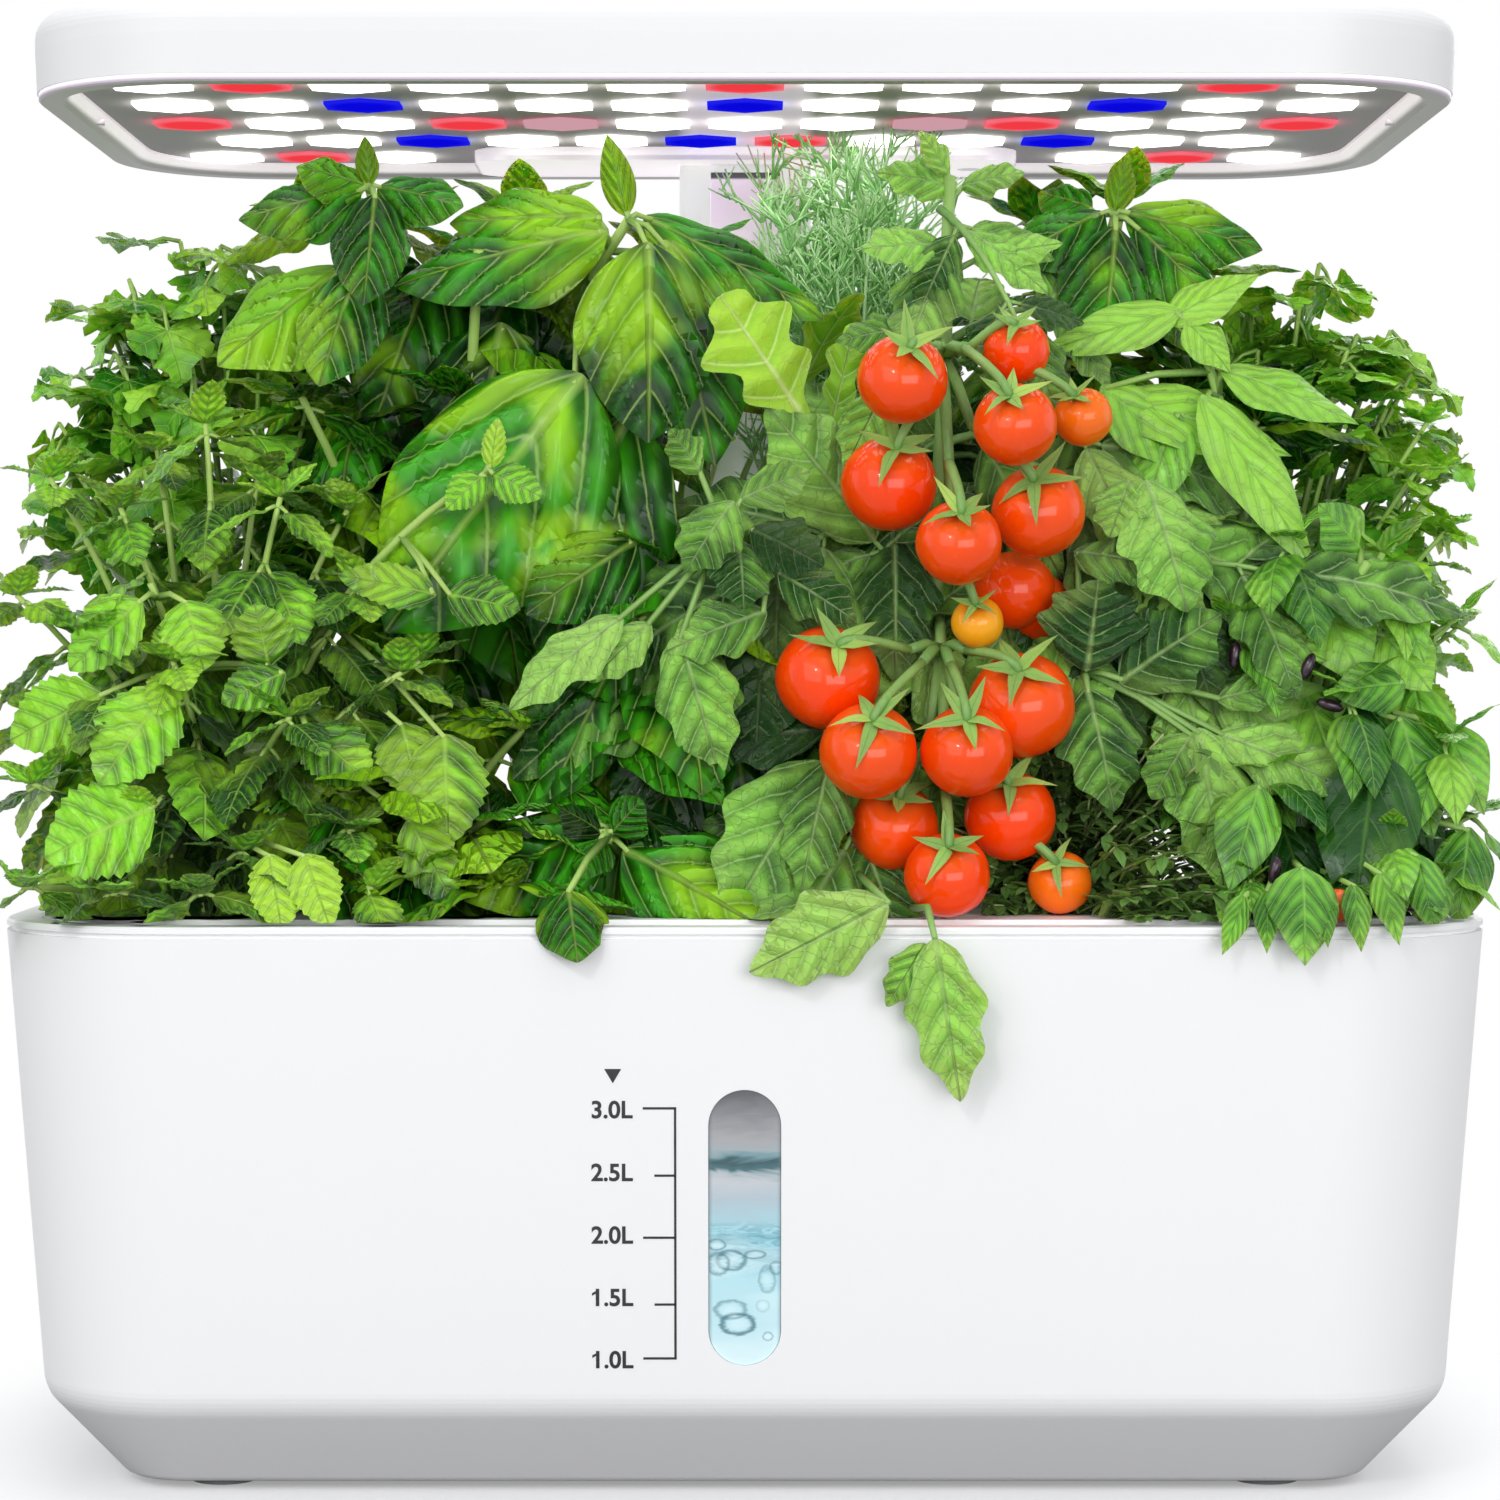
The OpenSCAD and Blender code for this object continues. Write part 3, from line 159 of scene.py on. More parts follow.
def islands(name):
    """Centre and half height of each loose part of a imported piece."""
    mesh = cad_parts[name].data
    parent = list(range(len(mesh.vertices)))

    def root(i):
        while parent[i] != i:
            parent[i] = parent[parent[i]]
            i = parent[i]
        return i

    first = {}
    for vertex in mesh.vertices:
        spot = tuple(round(c, 6) for c in vertex.co)
        parent[root(vertex.index)] = root(first.setdefault(spot, vertex.index))
    for edge in mesh.edges:
        a, b = (root(i) for i in edge.vertices)
        parent[a] = b
    groups = {}
    for vertex in mesh.vertices:
        groups.setdefault(root(vertex.index), []).append(vertex.co)
    found = []
    for points in groups.values():
        low, high = (Vector([pick(p[i] for p in points) for i in range(3)]) for pick in (min, max))
        found.append(((low + high) / 2, (high.z - low.z) / 2))
    return sorted(found, key=lambda part: (round(part[0].x, 5), round(part[0].z, 5), round(part[0].y, 5)))


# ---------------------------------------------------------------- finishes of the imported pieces

def moulded_plastic(name, colour, roughness, shading=0.02):
    """Moulded plastic: an even colour with the faint spark-eroded grain of its mould."""
    material, add, place = new_material(name)
    grain = add("TexNoise", Vector=place, Scale=PER_MM / 0.9, Detail=3.0, Roughness=0.6)
    drift = add("TexNoise", Vector=place, Scale=PER_MM / 60, Detail=1.0)
    darker = [c * (1 - shading) for c in linear(colour)[:3]] + [1.0]
    return shade(material, Base_Color=add("Mix", drift, darker, linear(colour)),
                 Roughness=add("MapRange", grain, 0.3, 0.7, roughness - 0.04, roughness + 0.05),
                 Normal=add("Bump", Height=grain, Distance=0.012 * MM))


def lamp_underside_abs():
    """Moulded ABS of the bezel: the flat rim that faces down painted grey as shade, and the sloped wall and
    the walls round the post's dock painted pale and glowing with the lights beside them.
    """
    material, add, place = new_material("lamp_bezel_abs")
    x, y, z = add("SeparateXYZ", place).node.outputs
    low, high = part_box("lamp_bezel")
    facing = add("SeparateXYZ", add("NewGeometry", out="True Normal"), out=2)
    # painted glow of the lights on the sloped wall, which faces less straight down than the rim
    slope_glow = add("MULTIPLY", add("MapRange", facing, -0.99, -0.9),
                add("MapRange", z, low.z + 0.4 * MM, low.z + 1.2 * MM))
    # painted glow of the lights on the walls round the post's dock
    front, depth, half = high.y - 34.5 * MM, 29 * MM, 54.5 * MM
    dock_glow = add("MULTIPLY", add("MapRange", add("ABSOLUTE", x), half, half + MM, 1.0, 0.0),
               add("MapRange", y, front, front + MM))
    dock_glow = add("MULTIPLY", dock_glow, add("MapRange", y, front + depth, front + depth + MM, 1.0, 0.0))
    painted_glow = add("MAXIMUM", slope_glow, dock_glow)
    # the flat rim that faces down is painted grey as shade, and the glowing walls pale
    return shade(material, Base_Color=add("Mix", painted_glow, "#C4BAC6", "#F1EAF4"), Roughness=0.38,
                 Emission_Color="#FFF2FA", Emission_Strength=add("MULTIPLY", painted_glow, 0.5),
                 Normal=relief(add, place, 0.9, 0.01))


def lit_lens(name, core, rim, strength, centres):
    """A moulded diffusing lens over a lit diode: deepest in colour in the middle, and paler to its rim."""
    material, add, place = new_material("lit_" + name)
    reach = 8.1 * MM
    nearest = reach
    for centre in centres:
        nearest = add("MINIMUM", nearest, add("VectorMath", place, tuple(centre), operation="DISTANCE",
                                              out=1))
    colour = add("Mix", add("MapRange", nearest, 0.6 * reach, reach), core, rim)
    if name == "red":
        # four of the red ones, in pairs beside the middle, are dull
        x, y, _ = add("SeparateXYZ", place).node.outputs
        beside = add("ABSOLUTE", add("SUBTRACT", add("ABSOLUTE", x), 35.6 * MM))
        row = add("ABSOLUTE", add("ADD", y, 14.2 * MM))
        near = [add("MapRange", away, 8 * MM, 9 * MM, 1.0, 0.0) for away in (beside, row)]
        colour = add("Mix", add("MULTIPLY", *near), colour, "#CC9AA4")
    return shade(material, Base_Color="#141416", Roughness=0.9, Specular_IOR_Level=0.0,
                 Emission_Color=colour, Emission_Strength=strength)


def glossy_panel():
    """Glossy moulded polycarbonate, grey between the lights, washed with their painted glow and with a
    painted reflection of the post.
    """
    material, add, place = new_material("glossy_panel_polycarbonate")
    glow = add("Attribute", attribute_name="glow", out="Color")
    return shade(material, Base_Color="#9A8E9C", Roughness=0.4, Specular_IOR_Level=0.12,
                 Emission_Color=glow, Emission_Strength=0.8, Normal=relief(add, place, 2.5, 0.01))


# Bubbles behind the window: place across and up, half width, half height in millimetres, and how dark
BUBBLES = ((-1.2, 32.7, 3.1, 1.9, 0.85), (-2.5, 35.3, 2.8, 1.7, 0.55), (4.1, 30.5, 0.9, 0.8, 0.5),
           (-2.4, 44.2, 2.6, 1.8, 0.7), (-5.0, 47.0, 1.6, 1.0, 0.6), (-4.7, 43.6, 2.0, 2.0, 0.55),
           (1.8, 45.2, 1.9, 0.8, 0.6), (4.0, 40.8, 1.5, 2.4, 0.4), (5.5, 42.8, 1.1, 1.3, 0.45),
           (3.2, 36.0, 1.2, 1.1, 0.2))
# Colours from the foot of the window, under water, through the surface at 0.7 to the air above it, which
# painted shade makes darker to the top
WATER = ((0.0, "#CFEAF0"), (0.16, "#BCE2EA"), (0.30, "#B4DFE8"), (0.36, "#A6D6E1"), (0.40, "#86BECC"),
         (0.43, "#A4D5DF"), (0.46, "#7DB6C5"), (0.49, "#A2D2DC"), (0.53, "#A6CBD6"), (0.60, "#AEBFC9"),
         (0.665, "#C0C5CA"), (0.69, "#A9B6BC"), (0.702, "#3F6A72"), (0.728, "#2E5159"), (0.75, "#6E959D"),
         (0.775, "#9DAAAF"), (0.81, "#A3A4A7"), (0.88, "#8D8E92"), (0.95, "#707175"), (1.0, "#56575A"))


def wet_window():
    """Clear moulded acrylic over water: a grey air space, darker to the top with painted shade, a rippled
    surface, and bubbles below it.
    """
    material, add, place = new_material("clear_acrylic_over_water")
    low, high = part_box("gauge_window")
    flange = 2.6 * MM
    x, _, z = add("SeparateXYZ", place).node.outputs
    height = add("DIVIDE", add("SUBTRACT", z, low.z + flange), high.z - low.z - 2 * flange)
    ripple = add("Mapping", Vector=place, Scale=(0.45, 1.0, 1.7))
    waves = add("TexNoise", Vector=ripple, Scale=PER_MM / 4.2, Roughness=0.45, Distortion=1.2)
    waves = add("MULTIPLY", add("SUBTRACT", waves, 0.5), 0.085)
    fine = add("SUBTRACT", add("TexNoise", Vector=ripple, Scale=PER_MM / 1.8, Distortion=1.5), 0.5)
    colour = add("ValToRGB", add("ADD", height, waves), stops=WATER)
    splash = add("MULTIPLY", add("MapRange", height, 0.31, 0.37),
                 add("MapRange", height, 0.48, 0.53, 1.0, 0.0))
    sparkle = add("MULTIPLY", add("MapRange", fine, -0.05, 0.1), splash)
    colour = add("Mix", add("MULTIPLY", sparkle, 0.55), colour, "#4E9AAC")
    drift = add("MapRange", add("TexNoise", Vector=ripple, Scale=PER_MM / 9, Detail=1.0), 0.45, 0.62)
    low_water = add("MULTIPLY", drift, add("MapRange", height, 0.42, 0.5, 1.0, 0.0))
    colour = add("Mix", add("MULTIPLY", low_water, 0.35), colour, "#E2F6F9")
    wobble = add("MULTIPLY", fine, 0.5)
    for across, up, half_width, half_height, depth in BUBBLES:
        dx = add("DIVIDE", add("SUBTRACT", x, across * MM), half_width * MM)
        dz = add("DIVIDE", add("SUBTRACT", z, up * MM), half_height * MM)
        away = add("SQRT", add("ADD", add("MULTIPLY", dx, dx), add("MULTIPLY", dz, dz)))
        away = add("ADD", away, wobble)
        ring = add("MULTIPLY", add("MapRange", away, 0.62, 0.95),
                   add("MapRange", away, 0.97, 1.2, 1.0, 0.0))
        colour = add("Mix", add("MapRange", away, 0.2, 0.8, 0.35, 0.0), colour, "#E4F8FA")
        colour = add("Mix", add("MULTIPLY", ring, depth), colour, "#33717F")
    # painted shade: darker at the sides, next to the frame
    edge = (high.x - low.x) / 2 - flange
    rim = add("MapRange", add("ABSOLUTE", x), edge - 0.9 * MM, edge, 0.0, 0.5)
    colour = add("Mix", rim, colour, "#5E7278")
    # the water's colours glow faintly too, as painted light
    return shade(material, Base_Color=colour, Roughness=0.12, Coat_Weight=0.4, Coat_Roughness=0.05,
                 Emission_Color=colour, Emission_Strength=0.12, Normal=relief(add, place, 14.0, 0.05))


def cover_strip_gloss():
    """Extruded glossy strip: white, tinged violet and glowing with painted light where the lamp shines, and
    darkened by painted shade in the gap at its top.
    """
    material, add, place = new_material("glossy_cover_strip")
    z = add("SeparateXYZ", place, out=2)
    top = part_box("post_cover_strip")[1].z
    # painted light of the lamp: violet and glowing, strongest at the top
    share = add("MapRange", z, top - 45 * MM, top)
    colour = add("Mix", share, "#F6F1F6", "#E6D2E8")
    # painted shade in the gap under the lamp
    colour = add("Mix", add("MapRange", z, top - 1.6 * MM, top - 1.0 * MM), colour, "#3C3A3E")
    return shade(material, Base_Color=colour, Roughness=0.16, Normal=relief(add, place, 20.0, 0.02),
                 Emission_Color=colour, Emission_Strength=add("MapRange", share, 0.0, 1.0, 0.08, 0.4))


def washed_post():
    """Moulded white ABS of the post, washed by the lights at its top."""
    material = moulded_plastic("post_abs", "#F1F1F2", 0.42)
    add = partial(add_node, material.node_tree)
    z = add("SeparateXYZ", add("TexCoord", out="Object"), out=2)
    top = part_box("lamp_post")[1].z
    return shade(material, Emission_Color="#F6EFF8",
                 Emission_Strength=add("MapRange", z, top - 70 * MM, top - 10 * MM, 0.02, 0.3))


def peat_foam():
    """Moulded peat foam: dark brown, matt and crumbly, with paler fibres."""
    material, add, place = new_material("peat_foam")
    crumbs = add("TexNoise", Vector=place, Scale=PER_MM / 1.6, Detail=6.0, Roughness=0.7)
    colour = add("ValToRGB", crumbs, stops=((0.25, "#1C140E"), (0.5, "#3A2A1D"), (0.75, "#6B533A")))
    return shade(material, Base_Color=colour, Roughness=0.95, Normal=add("Bump", Height=crumbs,
                                                                         Distance=0.5 * MM))


def filter_foam():
    """Open-cell foam: black and matt, with pores about a millimetre wide."""
    material, add, place = new_material("filter_foam")
    pores = add("TexVoronoi", Vector=place, Scale=PER_MM * 0.9)
    return shade(material, Base_Color=add("Mix", pores, "#101113", "#3A3B3D"), Roughness=0.95,
                 Normal=add("Bump", Height=pores, Distance=0.4 * MM))


def solder_mask(name, colour):
    """Fibreglass board under solder mask: glossy, with the fine weave of the glass showing."""
    material, add, place = new_material(name)
    # bands of a wave lie 0.314 / Scale apart: 1.3 mm here, as a finer weave would not show
    weave = add("TexWave", Vector=place, Scale=PER_MM * 0.25, Distortion=0.4, out=1)
    return shade(material, Base_Color=colour, Roughness=0.3,
                 Normal=add("Bump", Height=weave, Distance=0.01 * MM))


def zinc_steel():
    """Zinc-plated steel: cool grey metal with fine turning marks."""
    material, add, place = new_material("zinc_plated_steel")
    marks = add("TexNoise", Vector=place, Scale=PER_MM / 0.4, Detail=4.0, Roughness=0.7)
    return shade(material, Base_Color="#B9BBBE", Metallic=1.0,
                 Roughness=add("MapRange", marks, 0.3, 0.7, 0.26, 0.42),
                 Normal=add("Bump", Height=marks, Distance=0.01 * MM))


def screen_ink():
    """Screen-printed ink: nearly black, with a faint speckle."""
    material, add, place = new_material("screen_printed_ink")
    speckle = add("TexNoise", Vector=place, Scale=PER_MM / 0.5)
    return shade(material, Base_Color=add("Mix", speckle, "#141416", "#242527"), Roughness=0.5)


# ---------------------------------------------------------------- leaves and stems

# A kind of blade: rows along it and columns across, where it is widest, how full it is, teeth or lobes on
# its edge, how deep these are and how far they point forward, how it folds up along its midrib, how its
# edges turn down, how it puckers between the side veins, how many of these it has and how far they lean,
# and how it bows
Blade = namedtuple("Blade", "rows cols shoulder fullness teeth depth sweep fold cup pucker veins lean bow")
BLADES = {
    "mint": Blade(20, 4, 0.70, 0.72, 10, 0.11, 0.20, 0.14, -0.12, 0.085, 5, 0.40, 0.20),
    "basil": Blade(15, 6, 0.72, 0.80, 0, 0.0, 0.10, 0.10, -0.42, 0.075, 4, 0.60, 0.30),
    "broad": Blade(28, 14, 0.72, 0.80, 0, 0.0, 0.10, 0.12, -0.50, 0.075, 4, 0.60, 0.30),
    "tomato": Blade(24, 6, 0.66, 0.80, 3, 0.22, 0.35, 0.12, -0.22, 0.070, 5, 0.40, 0.24),
    "pepper": Blade(14, 6, 0.66, 1.00, 0, 0.0, 0.10, 0.14, -0.25, 0.045, 5, 0.50, 0.34),
    "parsley": Blade(8, 4, 1.15, 0.75, 2, 0.45, 0.55, 0.10, -0.10, 0.060, 3, 0.35, 0.15),
    "rocket": Blade(28, 6, 1.45, 0.62, 3, 0.42, 0.10, 0.12, -0.10, 0.060, 4, 0.25, 0.18),
    "thyme": Blade(3, 2, 0.80, 0.80, 0, 0.0, 0.0, 0.20, 0.0, 0.0, 0, 0.0, 0.2),
    "sepal": Blade(7, 2, 0.50, 1.00, 0, 0.0, 0.0, 0.40, 0.0, 0.0, 0, 0.0, 0.5),
}


def leaf_material(name, kind, dark, light, vein, roughness, relief_mm, young="#C9DC4A", youth=0.25,
                  sheen=0.0, coat=0.0, contrast=1.0, sunlit=0.0, network_share=0.1):
    """A living leaf: darker between its veins, paler on them, with painted shade in the creases beside them,
    raised, and lit through in patches.

    Each leaf has its own tone: above 0.82 it is young, and below 0 it is old and darkened by painted shade
    deep inside the plant.
    """
    material, add, place = new_material(name)
    spot = add("Attribute", attribute_name="leaf", out="Vector")
    along, across, _ = add("SeparateXYZ", spot).node.outputs
    tone = add("Attribute", attribute_name="tone", out="Fac")
    # how far out from the midrib, and a wave whose crests are the side veins
    beside = add("MULTIPLY", add("ABSOLUTE", add("SUBTRACT", across, 0.5)), 2.0)
    leaning = add("MULTIPLY", add("POWER", beside, 1.3), BLADES[kind].lean)
    phase = add("MULTIPLY", add("SUBTRACT", along, leaning), BLADES[kind].veins)
    saw = add("ABSOLUTE", add("SUBTRACT", add("FRACT", add("ADD", phase, 40.0)), 0.5))
    side_vein = add("MapRange", saw, 0.44, 0.492)
    rib_edge = add("ADD", add("MULTIPLY", add("SUBTRACT", 1.0, along), 0.07), 0.025)
    midrib = add("SUBTRACT", 1.0, add("MINIMUM", add("DIVIDE", beside, rib_edge), 1.0))
    # a network of the finest veins, whose cells are 2.4 mm wide
    cells = add("TexVoronoi", Vector=place, Scale=PER_MM * 0.42, feature="DISTANCE_TO_EDGE")
    network = add("MULTIPLY", add("MapRange", cells, 0.0, 0.05, 1.0, 0.0), network_share)
    # the leaf's own tone, patches about a centimetre wide, and painted shade that darkens it towards the
    # side veins
    patches = add("MapRange", add("TexNoise", Vector=place, Scale=PER_MM / 11), 0.38, 0.62)
    body = add("ADD", add("MULTIPLY", add("MAXIMUM", tone, 0.0), 0.7), add("MULTIPLY", patches, 0.3))
    body = add("ADD", body, add("MULTIPLY", add("SUBTRACT", 0.25, saw), 0.5 * contrast))
    colour = add("Mix", add("MapRange", body, 0.1, 1.0), dark, light)
    colour = add("Mix", add("MULTIPLY", add("MapRange", tone, 0.82, 1.0), youth * 2), colour, young)
    # painted light that shines through in patches, in the young colour, less so at the side veins
    lit = add("TexNoise", Vector=place, Scale=PER_MM / 24, Detail=1.0, Distortion=0.6)
    lit = add("MapRange", lit, 0.49, 0.64, 0.0, sunlit)
    lit = add("MULTIPLY", lit, add("SUBTRACT", 1.0, add("MULTIPLY", side_vein, 0.5)))
    colour = add("Mix", lit, colour, young)
    # painted shade in the creases beside the side veins
    crease_shade = add("MapRange", saw, 0.24, 0.43, 0.0, 0.22 * contrast)
    colour = add("Mix", add("MULTIPLY", crease_shade, add("SUBTRACT", 1.0, side_vein)), colour, dark)
    colour = add("Mix", network, colour, vein)
    vein_share = add("MAXIMUM", add("MULTIPLY", side_vein, 0.62), midrib)
    colour = add("Mix", add("MULTIPLY", vein_share, 0.7), colour, vein)
    # a tone below 0 marks an old leaf deep inside the plant, darkened by painted shade
    old_and_shaded = [0.6 * c for c in linear(dark)[:3]] + [1.0]
    colour = add("Mix", add("MapRange", tone, -0.6, 0.05, 0.8, 0.0), colour, old_and_shaded)
    height = add("SUBTRACT", add("MULTIPLY", add("SUBTRACT", 0.5, saw), 1.2), network)
    height = add("SUBTRACT", height, add("MULTIPLY", midrib, 0.5))
    return shade(material, Base_Color=colour, Roughness=roughness, Specular_IOR_Level=0.24,
                 Sheen_Weight=sheen, Coat_Weight=coat, Coat_Roughness=0.2, Subsurface_Weight=0.3,
                 Subsurface_Radius=(0.7, 1.0, 0.15), Subsurface_Scale=0.002,
                 Normal=add("Bump", Height=height, Distance=relief_mm * MM))


def stem_material(name, foot, tip):
    """A green stem: darker at its foot, paler at its tip, with fine lengthwise streaks."""
    material, add, place = new_material(name)
    along = add("SeparateXYZ", add("Attribute", attribute_name="leaf", out="Vector"))
    drawn_out = add("Mapping", Vector=place, Scale=(1, 1, 0.15))
    streaks = add("TexNoise", Vector=drawn_out, Scale=PER_MM / 0.8)
    colour = add("Mix", add("MULTIPLY", streaks, 0.3), add("Mix", along, foot, tip), "#C6D79A")
    return shade(material, Base_Color=colour, Roughness=0.5,
                 Normal=add("Bump", Height=streaks, Distance=0.1 * MM))


def tomato_skin(ripe):
    """Ripe tomato skin: smooth, deep and wet-looking, paler round the stalk, with faint freckles."""
    material, add, place = new_material("tomato_skin")
    tone = add("Attribute", attribute_name="tone", out="Fac")
    along = add("SeparateXYZ", add("Attribute", attribute_name="leaf", out="Vector"))
    colour = add("ValToRGB", tone, stops=((0.1, "#FFB51C"), (0.5, "#FF7A10"), (0.8, "#FF5406"),
                                          (1.0, ripe)))
    colour = add("Mix", add("MapRange", along, 0.05, 0.32, 0.5, 0.0), colour, "#F2702A")
    freckles = add("TexNoise", Vector=place, Scale=PER_MM / 1.1, Detail=3.0, Roughness=0.6)
    colour = add("Mix", add("MapRange", freckles, 0.56, 0.72, 0.0, 0.1), colour, "#F58A45")
    return shade(material, Base_Color=colour, Roughness=0.3, Specular_IOR_Level=0.05, Coat_Weight=0.55,
                 Coat_Roughness=0.09, Subsurface_Weight=0.05, Subsurface_Radius=(1.0, 0.12, 0.04),
                 Subsurface_Scale=0.003, Normal=relief(add, place, 3.0, 0.03))


@cache
def grid_faces(rows, cols):
    """Quads of a sheet's upper and lower side, as places in its list of points."""
    r, c = np.meshgrid(np.arange(rows), np.arange(cols), indexing="ij")
    first = (r * (cols + 1) + c).ravel()
    upper = np.stack([first, first + cols + 1, first + cols + 2, first + 1], axis=1)
    return np.concatenate([upper, upper[:, ::-1] + (rows + 1) * (cols + 1)])


def ring_faces(rings, sides):
    """Quads of a closed form made of rings of points, with both ends capped."""
    i, j = np.meshgrid(np.arange(rings - 1), np.arange(sides), indexing="ij")
    first = (i * sides + j).ravel()
    after = (i * sides + (j + 1) % sides).ravel()
    caps = np.array([[0, k, k + 1, k + 2] for k in range(1, sides - 2, 2)])
    return np.concatenate([np.stack([first, first + sides, after + sides, after], axis=1), caps,
                           caps[:, ::-1] + (rings - 1) * sides])


def tube_faces(rings, sides):
    """Quads of a capped tube whose rings turn the other way round."""
    faces = ring_faces(rings, sides)[:, [0, 3, 2, 1]]
    ends = slice(-((sides - 2) // 2), None)
    faces[ends] = faces[ends][:, [2, 3, 0, 1]]
    return faces


def unit(vector):
    """The vector at length 1."""
    return vector / np.linalg.norm(vector)


def square_to(way):
    """Two directions square to way and to each other."""
    side = unit(np.cross(way, [0.9, 0.2, 0.3]))
    return side, np.cross(way, side)


def heading(degrees, droop=0.0):
    """Directions along a leaf and out of its upper face, for one that drops droop degrees below level."""
    turn, drop = math.radians(degrees), math.radians(droop)
    level = np.array([math.cos(turn), math.sin(turn), 0.0])
    up = np.array([0.0, 0.0, 1.0])
    return level * math.cos(drop) - up * math.sin(drop), level * math.sin(drop) + up * math.cos(drop)


def arch(a, b, lift=0.62, lean=0.3, steps=9):
    """Points of a stem that rises from a and then bends over towards b."""
    a, b = np.asarray(a, float), np.asarray(b, float)
    middle = a + (b - a) * np.array([lean, lean, lift])
    return curve(a, middle, b, steps)


def curve(a, middle, b, steps):
    """Points of a curve that leaves a and reaches b along lines through middle."""
    t = np.linspace(0, 1, steps)[:, None]
    return (1 - t) ** 2 * a + 2 * t * (1 - t) * middle + t ** 2 * b


def pod(number):
    """Middle of the top of a pod's plug, in millimetres; pods count from 1 at the front left."""
    low, high = (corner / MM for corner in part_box(f"basket_{number}"))
    return np.array([(low.x + high.x) / 2, (low.y + high.y) / 2, 105.0])


